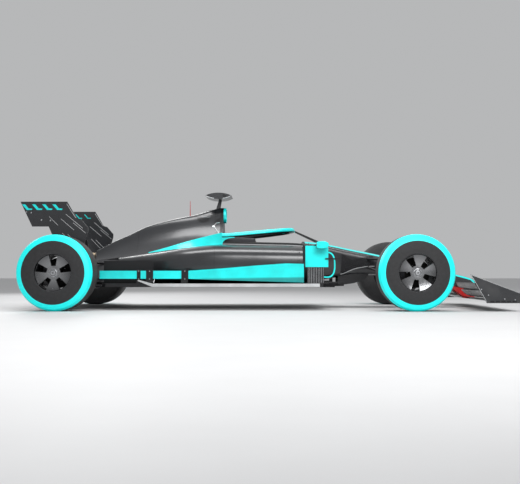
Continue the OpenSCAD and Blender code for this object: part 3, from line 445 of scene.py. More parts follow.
def tyre_rubber(corner):
    """Slick tyre rubber: a flat bright band on the outer shoulder that glows a little as painted light,
    ribbed walls, a scrubbed tread.
    """
    look = Finish("tyre_rubber_" + corner, Emission_Strength=BAND_GLOW)
    low, high = node_box("tyre_" + corner)
    band, blur = sizes().band_width, EDGE_BLUR / 2
    rings = look.group("turned", Centre=wheel_centre(corner), Pitch=0.006)
    reach = look.math("MULTIPLY", look.axis(1), side_of(corner))
    on_side, on_edge = (look.ramp(value, end - band - blur, end - band + blur) for value, end in
                        ((reach, max(abs(low.y), abs(high.y))), (rings["Radius"], TYRE_R)))
    painted = look.math("MULTIPLY", on_side, on_edge)
    rubber, accent = colours().rubber, colours().accent
    base = look.mix(look.grain(35.0), rubber, scaled(rubber, 1.5))
    tread = look.ramp(rings["Radius"], TYRE_R - 0.006, TYRE_R - 0.001)
    base = look.mix(look.math("MULTIPLY", tread, look.grain(160.0, 0.0, 0.6)), base, (0.055, 0.052, 0.05))
    base = look.mix(painted, base, accent)
    # painted light: the band glows in its own colour
    look.feed(look.shader["Emission Color"], look.mix(painted, (0.0, 0.0, 0.0), accent))
    ribs = look.math("MULTIPLY", rings["Height"], look.math("SUBTRACT", 1.0, painted))
    look.done(base, look.ramp(painted, 0.0, 1.0, 0.72, 0.5), (ribs, 0.16, 0.0006))


def plain_rubber(name):
    """Moulded rubber with a fine pebble."""
    look = Finish(name)
    grain = look.group("grain", Scale=150.0, Low=0.55, High=0.8)
    base = look.mix(grain["Value"], (0.010, 0.010, 0.010), (0.024, 0.024, 0.024))
    look.done(base, grain["Value"], (grain["Height"], 0.3, 0.001))


def exhaust_steel(name):
    """Heat-tinted pipe: straw and blue towards its end."""
    look = Finish(name, Metallic=1.0)
    low, high = node_box("exhaust")
    base = look.mix(look.ramp(look.axis(0), low.x, high.x), (0.16, 0.13, 0.20), (0.42, 0.33, 0.22))
    stain = look.group("grain", Scale=30.0, Low=0.2, High=0.45)
    base = look.mix(stain["Value"], base, (0.07, 0.06, 0.06))
    look.done(base, stain["Value"], (stain["Height"], 0.1, 0.001))


def cloth(name, dark):
    """Close woven cloth or webbing."""
    look = Finish(name, Sheen_Weight=0.25, Sheen_Roughness=0.5)
    twill = look.group("weave", Tow=0.0016)
    base = look.mix(twill["Warp"], dark, scaled(dark, 1.7))
    base = look.mix(look.grain(12.0, 0.0, 0.35), base, scaled(dark, 2.4))
    look.done(base, look.grain(60.0, 0.75, 0.95), (twill["Height"], 0.35, 0.0005))


def lens(name, colour, glow):
    """Moulded lamp lens with vertical prisms."""
    look = Finish(name, Roughness=0.12, Coat_Weight=0.6, Emission_Strength=glow)
    prism = look.math("SINE", look.math("MULTIPLY", look.axis(1), 2 * math.pi / PRISM_PITCH))
    base = look.mix(look.ramp(prism, -1.0, 1.0), scaled(colour, 0.6), colour)
    look.feed(look.shader["Emission Color"], base)
    look.done(base, bump=(prism, 0.3, 0.001))


# Finishes of the CAD nodes; the tyres and rims have their own
NODE_FINISH = {
    "graphite_paint": "monocoque camera_pod front_wing_main front_wing_flaps front_wing_endplates "
                      "rear_wing_main rear_wing_flap rear_wing_endplates",
    "cover_paint": "engine_cover",
    "pod_paint": "sidepods",
    "nose_paint": "nose_deck nose_cone",
    "halo_paint": "halo",
    "rail_paint": "side_rails",
    "black_carbon": "dash roll_hoop mirrors floor plank diffuser deflector_slats nose_vanes front_links "
                    "rear_links crash_structure rear_wing_pylons seat steering_wheel",
    "cyan_paint": "airbox_lip halo_fairings deflector_panels",
    "red_paint": "nose_pylons antenna",
    "machined_alloy": "steering_rack knuckle_left knuckle_right rear_uprights driveshaft_left "
                      "driveshaft_right",
    "cast_alloy": "gearbox power_unit",
    "exhaust_steel": "exhaust",
    "boot_rubber": "steering_boots",
    "headrest_cloth": "headrest",
    "rear_lens": "rear_light",
}


def make_materials():
    """All finishes by name."""
    GROUPS.update(grain=grain_group(), weave=weave_group(), dust=dust_group(), turned=turned_group())
    hues = colours()
    cover_low, cover_high = node_box("engine_cover")
    pod_front = node_box("sidepods")[1].x
    paint("graphite_paint", hues.graphite)
    paint("cover_paint", hues.graphite, seams=(cover_high.x - 0.05, cover_low.x + 0.42))
    paint("pod_paint", hues.graphite, seams=(pod_front - 0.045, pod_front - 0.80))
    paint("nose_paint", hues.graphite, stripe=("nose_deck", "nose_cone"),
          seams=(node_box("nose_cone")[0].x,))
    paint("cyan_paint", hues.accent)
    # the halo gets its black pillar and painted shade under and inside its hoop
    paint("halo_paint", hues.accent, dust=0.05, shade=pillar_and_shade_mask)
    # painted shade low on the side rails, and their black posts
    paint("rail_paint", hues.accent, dust=0.08, shade=rail_shade_and_posts_mask)
    paint("red_paint", hues.red, dust=0.1)
    paint("black_gloss", (0.004, 0.004, 0.005), dust=0.05)
    # pale paint for trim lines, also used for painted highlights along edges and as spots
    paint("pale_trim", (0.55, 0.56, 0.57), dust=0.2)
    carbon("black_carbon")
    # glossy black without dust: painted shade in the front wing's slots, and the nose's black side panels
    carbon("slot_black", gloss=0.75, dust=0.0)
    alloy("machined_alloy", hues.alloy)
    alloy("cast_alloy", (0.20, 0.20, 0.21), rough=0.5)
    alloy("dark_alloy", (0.06, 0.06, 0.065), rough=0.42)
    alloy("brake_carbon", (0.030, 0.029, 0.028), rough=0.55)
    alloy("mirror_glass", (0.62, 0.65, 0.68), rough=0.09)
    cloth("belt_web", (0.035, 0.036, 0.040))
    cloth("headrest_cloth", hues.cloth)
    exhaust_steel("exhaust_steel")
    plain_rubber("boot_rubber")
    lens("rear_lens", (0.5, 0.01, 0.01), 0.4)
    for corner in CORNERS:
        tyre_rubber(corner)
        wheel_alloy(corner)


def smooth_group():
    """Joins a panel's facets and shades them smooth up to a fold of about thirty degrees."""
    group = bpy.data.node_groups.new("Smooth panels", "GeometryNodeTree")
    for way in ("INPUT", "OUTPUT"):
        group.interface.new_socket("Geometry", in_out=way, socket_type="NodeSocketGeometry")
    first, merge, soft, fold, wide, hard, last = (group.nodes.new(kind) for kind in (
        "NodeGroupInput", "GeometryNodeMergeByDistance", "GeometryNodeSetShadeSmooth",
        "GeometryNodeInputMeshEdgeAngle", "FunctionNodeCompare", "GeometryNodeSetShadeSmooth",
        "NodeGroupOutput"))
    merge.inputs["Distance"].default_value = 0.00002
    wide.operation = "GREATER_THAN"
    wide.inputs[1].default_value = math.radians(33.0)
    hard.domain = "EDGE"
    hard.inputs["Shade Smooth"].default_value = False
    for start, end in ((first, merge), (merge, soft), (soft, hard), (fold, wide), (hard, last)):
        group.links.new(start.outputs[0], end.inputs[0])
    group.links.new(wide.outputs[0], hard.inputs["Selection"])
    return group


def dress_nodes():
    """Gives every CAD node its finish and smooth shading."""
    group = smooth_group()
    finish = {node: name for name, nodes in NODE_FINISH.items() for node in nodes.split()}
    for corner in CORNERS:
        finish["tyre_" + corner] = "tyre_rubber_" + corner
        finish["rim_" + corner] = "wheel_alloy_" + corner
    for name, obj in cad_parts.items():
        obj.data.materials.clear()
        obj.data.materials.append(MATS[finish[name]])
        if "custom_normal" in obj.data.attributes:
            obj.data.attributes.remove(obj.data.attributes["custom_normal"])
        obj.modifiers.new("Smooth panels", "NODES").node_group = group


# Mesh helpers

SIDES = (1, -1)
DOWN = (0, 0, -1)


def spin(angle):
    """Unit vector across an axle at an angle."""
    return Vector((math.cos(angle), 0.0, math.sin(angle)))


def around(axis, guide, steps):
    """Unit vectors round an axis, from a guide square to it."""
    up = axis.cross(guide)
    angles = [2 * math.pi * k / steps for k in range(steps)]
    return [guide * math.cos(a) + up * math.sin(a) for a in angles]


def bands(rows, count, start=0, loop=False):
    """Faces between rows of points, each row a closed ring; loop joins the last row to the first."""
    faces = []
    for row in range(rows if loop else rows - 1):
        a, b = start + row * count, start + (row + 1) % rows * count
        for i in range(count):
            j = (i + 1) % count
            faces.append([a + i, a + j, b + j, b + i])
    return faces


def cells(low, high, count):
    """Middles of equal cells between two ends."""
    return [low + (high - low) * (k + 0.5) / count for k in range(count)]


def rect(x0, z0, x1, z1):
    """Corners of an upright rectangle."""
    return [(x0, z0), (x1, z0), (x1, z1), (x0, z1)]


class Shape:
    """Gathers points and faces of one piece, in the car's frame."""

    def __init__(self):
        self.verts = []
        self.faces = []

    def add(self, verts, faces):
        """Adds a closed shell."""
        start = len(self.verts)
        self.verts += [Vector(v) for v in verts]
        self.faces += [[start + i for i in face] for face in faces]

    def loft(self, rings, turn=None):
        """A skin through rings of the same count of points, with flat ends; turn is a matrix."""
        count = len(rings[0])
        last = (len(rings) - 1) * count
        verts = [turn @ Vector(p) if turn else p for ring in rings for p in ring]
        self.add(verts, bands(len(rings), count) + [range(count), range(last, last + count)])

    def block(self, low, high, turn=None, chamfer=0.0):
        """A box, with a chamfer round its four edges along X if asked."""
        (x0, y0, z0), (x1, y1, z1) = low, high
        c = chamfer
        ring = [(y0 + c, z0), (y1 - c, z0), (y1, z0 + c), (y1, z1 - c),
                (y1 - c, z1), (y0 + c, z1), (y0, z1 - c), (y0, z0 + c)]
        if not c:
            ring = ring[::2]
        self.loft([[(x, y, z) for y, z in ring] for x in (x0, x1)], turn)

    def blocks(self, low, high, chamfer=0.0):
        """A box on each side of the car."""
        for s in SIDES:
            y0, y1 = sorted((s * low[1], s * high[1]))
            self.block((low[0], y0, low[2]), (high[0], y1, high[2]), chamfer=chamfer)

    def plates(self, outline, y0, y1):
        """A flat outline of (x, z) drawn across Y, on each side of the car."""
        for s in SIDES:
            self.loft([[(x, s * y, z) for x, z in outline] for y in (y0, y1)])

    def line(self, start, end, width, y, thick):
        """A thin raised line on an upright face, on each side of the car."""
        a, b = Vector(start), Vector(end)
        ahead = (b - a).normalized()
        side = Vector((-ahead.y, ahead.x)) * width / 2
        self.plates([a - side, b - side, b + side, a + side], y, y + thick)

    def lathe(self, profile, centre, axis, steps=32):
        """Turns a closed profile of (radius, along) about an axis through a centre."""
        axis = Vector(axis).normalized()
        ways = around(axis, axis.orthogonal().normalized(), steps)
        verts = [Vector(centre) + axis * h + way * r for way in ways for r, h in profile]
        self.add(verts, bands(steps, len(profile), loop=True))

    def disc(self, centre, axis, radius, height, steps, bevel):
        """A short round stud standing on a centre along its axis."""
        axis = Vector(axis).normalized()
        ways = around(axis, axis.orthogonal().normalized(), steps)
        levels = ((radius, 0.0), (radius, height - bevel), (radius - bevel, height))
        self.loft([[Vector(centre) + axis * h + way * r for way in ways] for r, h in levels])

    def studs(self, spots, y, radius, height, bevel, steps=12):
        """Studs at points of (x, z) on upright faces, on each side of the car."""
        for x, z in spots:
            for s in SIDES:
                self.disc((x, s * y, z), (0, s, 0), radius, height, steps, bevel)

    def pipe(self, path, radius, steps=8):
        """A round bar along a path; radius may be one number or one for each point."""
        path = [Vector(p) for p in path]
        radii = radius if isinstance(radius, (list, tuple)) else [radius] * len(path)
        rings = []
        guide = None
        for i, p in enumerate(path):
            ahead = (path[min(i + 1, len(path) - 1)] - path[max(i - 1, 0)]).normalized()
            if guide is None:
                guide = ahead.orthogonal().normalized()
            guide = (guide - ahead * guide.dot(ahead)).normalized()
            rings.append([p + way * radii[i] for way in around(ahead, guide, steps)])
        self.loft(rings)

    def piece(self, name, mat, slot=None, body="chassis", smooth=False):
        """Makes the piece, riding a body."""
        mesh = bpy.data.meshes.new(name)
        mesh.from_pydata([tuple(v) for v in self.verts], [], self.faces)
        tidy = bmesh.new()
        tidy.from_mesh(mesh)
        bmesh.ops.remove_doubles(tidy, verts=tidy.verts, dist=1e-6)
        bmesh.ops.recalc_face_normals(tidy, faces=tidy.faces)
        tidy.to_mesh(mesh)
        tidy.free()
        if smooth:
            mesh.shade_smooth()
            mesh.set_sharp_from_angle(angle=math.radians(35.0))
        mesh.materials.append(MATS[mat])
        obj = bpy.data.objects.new(name, mesh)
        bpy.context.scene.collection.objects.link(obj)
        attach(obj, body)


def surface(*nodes):
    """Some nodes' faces, ready to be met by rays."""
    verts, faces = [], []
    for node in nodes:
        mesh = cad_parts[node].data
        start = len(verts)
        verts += [v.co.copy() for v in mesh.vertices]
        faces += [[start + i for i in p.vertices] for p in mesh.polygons]
    return BVHTree.FromPolygons(verts, faces)


def meet(tree, start, ahead):
    """Where a ray first meets a surface, and the outward normal there."""
    place, normal, _, _ = tree.ray_cast(Vector(start), Vector(ahead))
    if place is None:
        raise ValueError("no surface under the point %s" % (tuple(start),))
    return place, normal if normal.dot(Vector(ahead)) < 0 else -normal


def meet_side(tree, x, z, side):
    """The same for a ray that comes in level from beside the car."""
    return meet(tree, (x, side * 1.2, z), (0, -side, 0))


def top_at(tree, x, y):
    """The point where a ray from above meets a surface."""
    return meet(tree, (x, y, 1.0), DOWN)[0]


# Brakes: the disc's face across the car, its bell's radii, its gap to the rim, and the caliper's angles
DISC_FACE = {"front": 0.7955, "rear": 0.765}
BELL_IN, BELL_OUT = 0.046, 0.075
DISC_GAP, DISC_THICK = 0.036, 0.028
CALIPER_ARC = range(150, 211, 10)


def build_brakes():
    """Disc that turns with each wheel, caliper fixed beside it, and the lugged nut in the middle."""
    for corner in CORNERS:
        end, hand = corner.split("_")
        side = side_of(corner)
        mid = wheel_centre(corner)
        wheel = "wheel_" + corner
        out = Vector((0.0, side, 0.0))
        disc_in = Vector((mid.x, side * DISC_FACE[end], mid.z))
        edge = RIM_R - DISC_GAP
        disc = Shape()
        half = [(BELL_IN, 0.004), (BELL_OUT, 0.004), (BELL_OUT, 0.0), (edge - 0.003, 0.0), (edge, 0.003),
                (edge, 0.010), (edge - 0.012, 0.011)]
        disc.lathe(half + [(r, DISC_THICK - h) for r, h in reversed(half)], disc_in, out, 64)
        disc.piece("brake_disc_" + corner, "brake_carbon", body=wheel, smooth=True)
        bell = Shape()
        for k in range(10):
            spot = disc_in + spin(2 * math.pi * k / 10) * 0.066 + out * 0.0235
            bell.disc(spot, out, 0.005, 0.004, 8, 0.001)
        bell.piece("disc_bolts_" + corner, "machined_alloy", body=wheel)
        build_caliper(corner, disc_in, out, edge, "knuckle_" + hand if end == "front" else "chassis")
        nut = Shape()
        rim_face = abs(node_box("rim_" + corner)[1 if side > 0 else 0].y)
        hub = Vector((mid.x, side * (rim_face - 0.0199), mid.z))
        lugs = sizes().nut_lugs
        for k in range(lugs):
            nut.disc(hub + spin(2 * math.pi * (k + 0.5) / lugs) * 0.0285, out, 0.0050, 0.011, 10, 0.0015)
        nut.lathe([(0.010, -0.001), (0.033, -0.001), (0.036, 0.0015), (0.036, 0.0040), (0.025, 0.0070),
                   (0.021, 0.0130), (0.014, 0.0155), (0.010, 0.0150)], hub, out, 48)
        nut.piece("wheel_nut_" + corner, "machined_alloy", body=wheel, smooth=True)


def build_caliper(corner, disc_in, out, edge, body):
    """Caliper over the disc's rear edge: two cheeks, a bridge and piston caps."""
    shape = Shape()
    outer, cheek, bridge = edge + 0.013, edge - 0.042, edge + 0.004
    for along, depth, inner in ((-0.024, 0.020, cheek), (0.032, 0.018, cheek), (-0.024, 0.074, bridge)):
        arcs = [(outer, a) for a in CALIPER_ARC] + [(inner, a) for a in reversed(CALIPER_ARC)]
        shape.loft([[disc_in + spin(math.radians(a)) * radius + out * y for radius, a in arcs]
                    for y in (along, along + depth)])
    for a in (160, 180, 200):
        spot = disc_in + spin(math.radians(a)) * (edge - 0.018) + out * 0.050
        shape.disc(spot, out, 0.012, 0.004, 16, 0.0015)
    shape.piece("caliper_" + corner, "dark_alloy", body=body)


# Wheel windows in the CAD: inner end's radius, half width there and at the barrel, angle of the first
WINDOW_IN, WINDOW_NEAR, WINDOW_FAR = 0.0585, 0.020, 0.038
WINDOW_TURN = {"front": 26.0, "rear": 54.0}
WINDOWS = 5
# Dish over the spokes: its radii, its floor and back below the rim's face, its rise and its curve
DISH_IN, DISH_OUT = 0.0502, 0.1562
DISH_FLOOR, DISH_BACK, DISH_RISE, DISH_CURVE = 0.027, 0.0315, 0.0175, 1.8


def build_dishes():
    """Dished spokes over each wheel's flat disc, deepest at the hub, and the tyre's valve."""
    pitch = 2 * math.pi / WINDOWS
    near = math.atan2(WINDOW_NEAR, WINDOW_IN)
    far = math.asin(WINDOW_FAR / DISH_OUT)
    inner = Vector((WINDOW_IN, WINDOW_NEAR))
    outer = Vector((math.cos(far), math.sin(far))) * DISH_OUT
    points = [inner.lerp(outer, i / 10) for i in range(11)]
    sides = [(DISH_IN, near)] + [(p.length, math.atan2(p.y, p.x)) for p in points]
    arc = [near * (i / 4 - 1) for i in range(9)]
    for corner in CORNERS:
        side, mid = side_of(corner), wheel_centre(corner)
        low, high = node_box("rim_" + corner)
        half = (high.y - low.y) / 2
        first = math.radians(WINDOW_TURN[corner.split("_")[0]])
        shape = bmesh.new()

        def place(radius, angle):
            """A point on the dish."""
            share = max(0.0, (radius - DISH_IN) / (DISH_OUT - DISH_IN))
            height = half - DISH_FLOOR + DISH_RISE * share ** DISH_CURVE
            return mid + Vector((math.cos(angle) * radius, side * height, -math.sin(angle) * radius))

        def patch(rows):
            """A grid of faces through rows of (radius, angle)."""
            grid = [[shape.verts.new(place(*item)) for item in row] for row in rows]
            for a, b in zip(grid, grid[1:]):
                for i in range(len(a) - 1):
                    shape.faces.new((a[i], a[i + 1], b[i + 1], b[i]))

        for k in range(WINDOWS):
            start = first + k * pitch
            patch([[(DISH_IN, start + a) for a in arc],
                   [(WINDOW_IN / math.cos(a), start + a) for a in arc]])
            patch([[(radius, start + edge + (pitch - 2 * edge) * j / 8) for j in range(9)]
                   for radius, edge in sides])
        bmesh.ops.remove_doubles(shape, verts=shape.verts, dist=1e-5)
        found = bmesh.ops.extrude_face_region(shape, geom=shape.faces[:], use_keep_orig=True)
        for vert in found["geom"]:
            if isinstance(vert, bmesh.types.BMVert):
                vert.co.y = mid.y + side * (half - DISH_BACK)
        shape.verts.index_update()
        dish = Shape()
        dish.add([v.co for v in shape.verts], [[v.index for v in f.verts] for f in shape.faces])
        shape.free()
        wheel = "wheel_" + corner
        dish.piece("wheel_dish_" + corner, "wheel_alloy_" + corner, "wheel_alloy", wheel, smooth=True)
        foot = place(0.135, first + pitch / 2)
        valve = Shape()
        valve.pipe([foot + Vector((0.0, side * rise, 0.0)) for rise in (-0.004, 0.009, 0.0105)],
                   [0.004, 0.0038, 0.0028])
        valve.piece("valve_" + corner, "machined_alloy", "wheel_alloy", wheel, smooth=True)


# Gills of the rear wing's endplates: count, pitch, and the outline of one from its upper rear corner
GILLS, GILL_PITCH = 4, 0.093
GILL = ((-0.016, 0.003), (0.0145, 0.003), (0.0455, -0.0345), (0.080, -0.0365), (0.0745, -0.0485),
        (0.030, -0.0485))
# Pale lines on the same plates, painted highlights along the edges of slits: start and end, X from the rear
# axle and Z below the plate's top
SLITS = (((0.018, -0.020), (0.103, -0.150)), ((0.012, -0.116), (0.168, -0.246)),
         ((-0.034, -0.158), (0.088, -0.262)), ((-0.142, -0.138), (-0.060, -0.218)),
         ((0.080, -0.196), (0.196, -0.290)), ((0.030, -0.300), (0.150, -0.420)),
         ((-0.020, -0.290), (0.080, -0.392)))
# Their width and rise, and how far in from a plate's outer face those on its inner face start
SLIT_WIDTH, SLIT_RISE, SLIT_INNER = 0.0035, 0.0012, 0.0128


def build_rear_wing():
    """Coloured gill inlays, pale lines on both faces as painted highlights along slit edges, end bolts and
    the flap's actuator.
    """
    low, high = node_box("rear_wing_endplates")
    axle = wheel_centre("rear_left").x
    out = high.y
    gills = Shape()
    for i in range(GILLS):
        x = low.x + 0.030 + GILL_PITCH * i
        gills.plates([(x + dx, high.z - 0.028 + dz) for dx, dz in GILL], out - 0.0085, out + 0.0008)
    gills.piece("rear_wing_gills", "cyan_paint")
    lines = Shape()
    for ends in SLITS:
        start, end = ((axle + x, high.z + z) for x, z in ends)
        for y in (out, out - SLIT_INNER):
            # pale raised lines: painted highlights along slit edges, on both faces
            lines.line(start, end, SLIT_WIDTH, y, SLIT_RISE)
    lines.piece("endplate_slit_highlights", "pale_trim")
    bolts = Shape()
    main, flap = node_box("rear_wing_main"), node_box("rear_wing_flap")
    for (box_low, box_high), rise in ((main, 0.45), (flap, 0.18)):
        size = box_high - box_low
        bolts.studs([(box_high.x - size.x * share, box_low.z + size.z * (rise + 0.2 * share))
                     for share in (0.25, 0.6)], out, 0.007, 0.003, 0.001)
    bolts.piece("rear_wing_bolts", "machined_alloy")
    rod = Shape()
    x, z = main[1].x, main[1].z
    rod.pipe([(x - 0.16, 0.0, z - 0.014), (flap[1].x - 0.035, 0.0, flap[0].z + 0.045)], [0.012, 0.008], 14)
    rod.block((x - 0.185, -0.016, z - 0.034), (x - 0.125, 0.016, z - 0.004), chamfer=0.005)
    rod.piece("flap_actuator", "dark_alloy")


# Slots low on the front wing's endplates, each filled with a dark plate as painted shade: count, pitch,
# start behind the tip, length, lower and upper edge
SLOT_COUNT, SLOT_PITCH, SLOT_REAR, SLOT_LONG, SLOT_LOW, SLOT_HIGH = 5, 0.048, 0.286, 0.036, 0.0055, 0.0215
# Edge lines and bolts on the same plates: X behind the tip, and height above the plate's lower edge
PLATE_LINES = (((0.449, 0.246), (0.036, 0.089)), ((0.445, 0.240), (0.316, 0.012)))
PLATE_BOLTS = ((0.07, 0.030), (0.16, 0.036), (0.30, 0.070), (0.36, 0.120))
BRACKETS_Y = (0.33, 0.60, 0.86)


def build_front_wing():
    """Dark plates as painted shade in the slots, pale edge lines, flap brackets and bolts."""
    low, high = node_box("front_wing_endplates")
    out, tip = high.y, high.x
    shade_plates = Shape()
    for i in range(SLOT_COUNT):
        x = tip - SLOT_REAR + SLOT_PITCH * i
        shade_plates.plates(rect(x, low.z + SLOT_LOW, x + SLOT_LONG, low.z + SLOT_HIGH), out - 0.011, out + 0.0005)
    # dark plates fill the slots: painted shade where open slots would show shade
    shade_plates.piece("slot_shade_plates", "slot_black")
    edges = Shape()
    for ends in PLATE_LINES:
        start, end = ((tip - x, low.z + z) for x, z in ends)
        edges.line(start, end, 0.003, out, 0.001)
    edges.piece("front_edge_lines", "pale_trim")
    (rear, _, under), (front, _, top) = node_box("front_wing_flaps")
    clips = Shape()
    for y in BRACKETS_Y:
        clips.plates([(front - 0.012, under + 0.012), (front - 0.075, under + 0.088),
                      (rear + 0.014, top + 0.004), (rear + 0.052, top - 0.070),
                      (front - 0.040, under + 0.004)], y, y + 0.004)
    clips.piece("flap_brackets", "dark_alloy", "black_carbon")
    screws = Shape()
    screws.studs([(tip - x, low.z + z) for x, z in PLATE_BOLTS], out, 0.006, 0.002, 0.0008)
    screws.piece("front_wing_bolts", "machined_alloy")


# Clamps over the side rails: ends along X, lower and upper edge, and the start of the upper flange
CLAMPS = ((-1.1464, -1.1132), (-1.0629, -1.0001), (-0.7461, -0.6833))
CLAMP_LOW, CLAMP_HIGH, CLAMP_FLANGE = 0.272, 0.366, 0.3585
RAIL_DEPTH = 0.022
# Rear end along X of the pale strip on the floor's edge
STRIP_REAR = -1.0076
# Floor stays: Y of their feet, then X and the upper end's Y of each
STAY_Y, STAYS = 0.57, ((-1.30, 0.30), (-1.02, 0.40))


def build_rails():
    """Dark clamps round the side rails, pale strip along the floor's edge and floor stays."""
    face = node_box("side_rails")[1].y
    floor_low, floor_high = node_box("floor")
    clamps, screws = Shape(), Shape()
    for x0, x1 in CLAMPS:
        clamps.plates(rect(x0, CLAMP_LOW, x1, CLAMP_HIGH), face + 0.0002, face + 0.005)
        clamps.plates(rect(x0, CLAMP_FLANGE, x1, CLAMP_HIGH), face - RAIL_DEPTH - 0.004, face)
        screws.studs([((x0 + x1) / 2, z) for z in (0.280, 0.350)], face + 0.005, 0.005, 0.0025, 0.0008)
    clamps.piece("rail_clamps", "black_carbon")
    screws.piece("clamp_screws", "machined_alloy")
    strip = Shape()
    low, out = floor_low.z, floor_high.y
    strip.plates(rect(STRIP_REAR, low + 0.001, floor_high.x - 0.24, low + 0.031), out + 0.0002, out + 0.003)
    strip.plates([(STRIP_REAR, low + 0.001), (STRIP_REAR, low + 0.031), (-1.128, low + 0.064),
                  (-1.140, low + 0.056)], out - 0.003, out + 0.003)
    strip.piece("floor_edge", "pale_trim")
    stays = Shape()
    for s in SIDES:
        for x, head_y in STAYS:
            stays.pipe([(x, s * STAY_Y, low + 0.032), (x, s * STAY_Y, low + 0.037)], 0.009, 12)
            stays.pipe([(x, s * STAY_Y, low + 0.036), (x + 0.03, s * head_y, 0.40)], 0.004)
    stays.piece("floor_stays", "machined_alloy", smooth=True)


def decal(shape, tree, outline, ahead, steps, lift=0.0012, sink=0.0015, rings=5):
    """A thin skin that lies on a surface under a flat outline, with more points on each edge."""
    ahead = Vector(ahead)
    corners = [Vector(p) for p in outline]
    edges = zip(corners, corners[1:] + corners[:1])
    points = [a.lerp(b, k / steps) for a, b in edges for k in range(steps)]
    count = len(points)
    centre = sum(points, Vector()) / count
    met = [meet(tree, centre + (p - centre) * max(k / rings, 0.001), ahead)[0]
           for k in range(rings + 1) for p in points]
    base, last = len(met), rings * count
    faces = [range(count), range(base, base + count)]
    faces += bands(rings + 1, count) + bands(rings + 1, count, base)
    for i in range(count):
        j = (i + 1) % count
        faces.append([last + i, last + j, base + last + j, base + last + i])
    shape.add([p - ahead * lift for p in met] + [p + ahead * sink for p in met], faces)


# Airbox: black panels of painted shade in the side vent and under the neck, pale lines along the vent's top
# and the neck, the neck's a painted highlight, and a pale spot as a painted highlight; X behind the engine
# cover's front edge, and Z
SCOOP = ((0.229, 0.882), (0.104, 0.880), (0.110, 0.852), (0.135, 0.832), (0.168, 0.824), (0.202, 0.834),
         (0.222, 0.854))
NECK = ((0.062, 0.827), (0.033, 0.856), (0.002, 0.876), (0.002, 0.826))
SCOOP_EDGE = ((0.232, 0.884), (0.190, 0.884), (0.150, 0.883), (0.101, 0.882))
NECK_HIGHLIGHT = ((0.004, 0.826), (0.040, 0.820), (0.054, 0.800), (0.050, 0.775), (0.030, 0.745),
             (0.004, 0.715))
AIRBOX_SPOT = (0.066, 0.786)
# Its dark top strip: X as above, and Y
TOP_STRIP = ((0.17, -0.012), (0.002, -0.055), (0.002, 0.055), (0.17, 0.012))
FILTER_PITCH = 0.0095


def build_airbox():
    """Dark top strip, black panels as painted shade in the side vents and under the neck, pale edge lines
    with the neck's a painted highlight, a pale disc as a painted highlight, and the filter in the mouth.
    """
    cover = surface("engine_cover")
    front = node_box("engine_cover")[1].x
    strip, panels, edges, lamps, mesh = (Shape() for _ in range(5))
    decal(strip, cover, [(front - x, y, 1.3) for x, y in TOP_STRIP], DOWN, 6)
    for s in SIDES:
        for outline, steps in ((SCOOP, 3), (NECK, 4)):
            # black decals: painted shade in the side vent and under the neck
            decal(panels, cover, [(front - x, s * 0.6, z) for x, z in outline], (0, -s, 0), steps)
        for path, radius in ((SCOOP_EDGE, 0.0025), (NECK_HIGHLIGHT, 0.0030)):
            # pale lines; the one along the neck is a painted highlight
            edges.pipe([meet_side(cover, front - x, z, s)[0] for x, z in path], radius)
        # pale disc: a painted highlight
        place, normal = meet_side(cover, front - AIRBOX_SPOT[0], AIRBOX_SPOT[1], s)
        lamps.disc(place - normal * 0.002, normal, 0.013, 0.006, 20, 0.002)
    strip.piece("airbox_strip", "black_gloss", smooth=True)
    panels.piece("airbox_shade_panels", "black_gloss", smooth=True)
    edges.piece("airbox_edges", "pale_trim", smooth=True)
    lamps.piece("airbox_highlight_spots", "pale_trim")
    lip_low, lip_high = node_box("airbox_lip")
    mid = (lip_low.z + lip_high.z) / 2
    for k in range(-5, 6):
        z = FILTER_PITCH * k
        half = 0.062 * math.sqrt(1 - (z / 0.062) ** 4)
        mesh.block((front + 0.004, -half, mid + z - 0.0016), (front + 0.012, half, mid + z + 0.0016))
    for k in range(-6, 7):
        y = FILTER_PITCH * k
        half = 0.055 * math.sqrt(1 - (y / 0.068) ** 4)
        mesh.block((front + 0.006, y - 0.0013, mid - half), (front + 0.009, y + 0.0013, mid + half))
    mesh.piece("airbox_filter", "dark_alloy", "black_carbon")


def rim_path(count=16):
    """Points along the top of the tub's left side, from the dash to the rear bulkhead."""
    tub = surface("monocoque")
    front = node_box("dash")[0].x - 0.004
    rear = node_box("monocoque")[0].x + 0.004
    path = []
    for k in range(count):
        x = front + (rear - front) * k / (count - 1)
        path.append(top_at(tub, x, meet_side(tub, x, 0.560, 1)[0].y - 0.010))
    return path


def strap(shape, seat, start, end, steps, width):
    """A flat strap over the seat between two points of (x, y)."""
    start, end = Vector(start), Vector(end)
    ahead = (end - start).normalized()
    across = Vector((-ahead.y, ahead.x)) * width / 2
    under, over = Vector((0.0, 0.0, 0.0015)), Vector((0.0, 0.0, 0.0045))
    rings = []
    for k in range(steps + 1):
        left, right = (top_at(seat, *(start.lerp(end, k / steps) + across * s)) for s in SIDES)
        rings.append([left + under, right + under, right + over, left + over])
    shape.loft(rings)


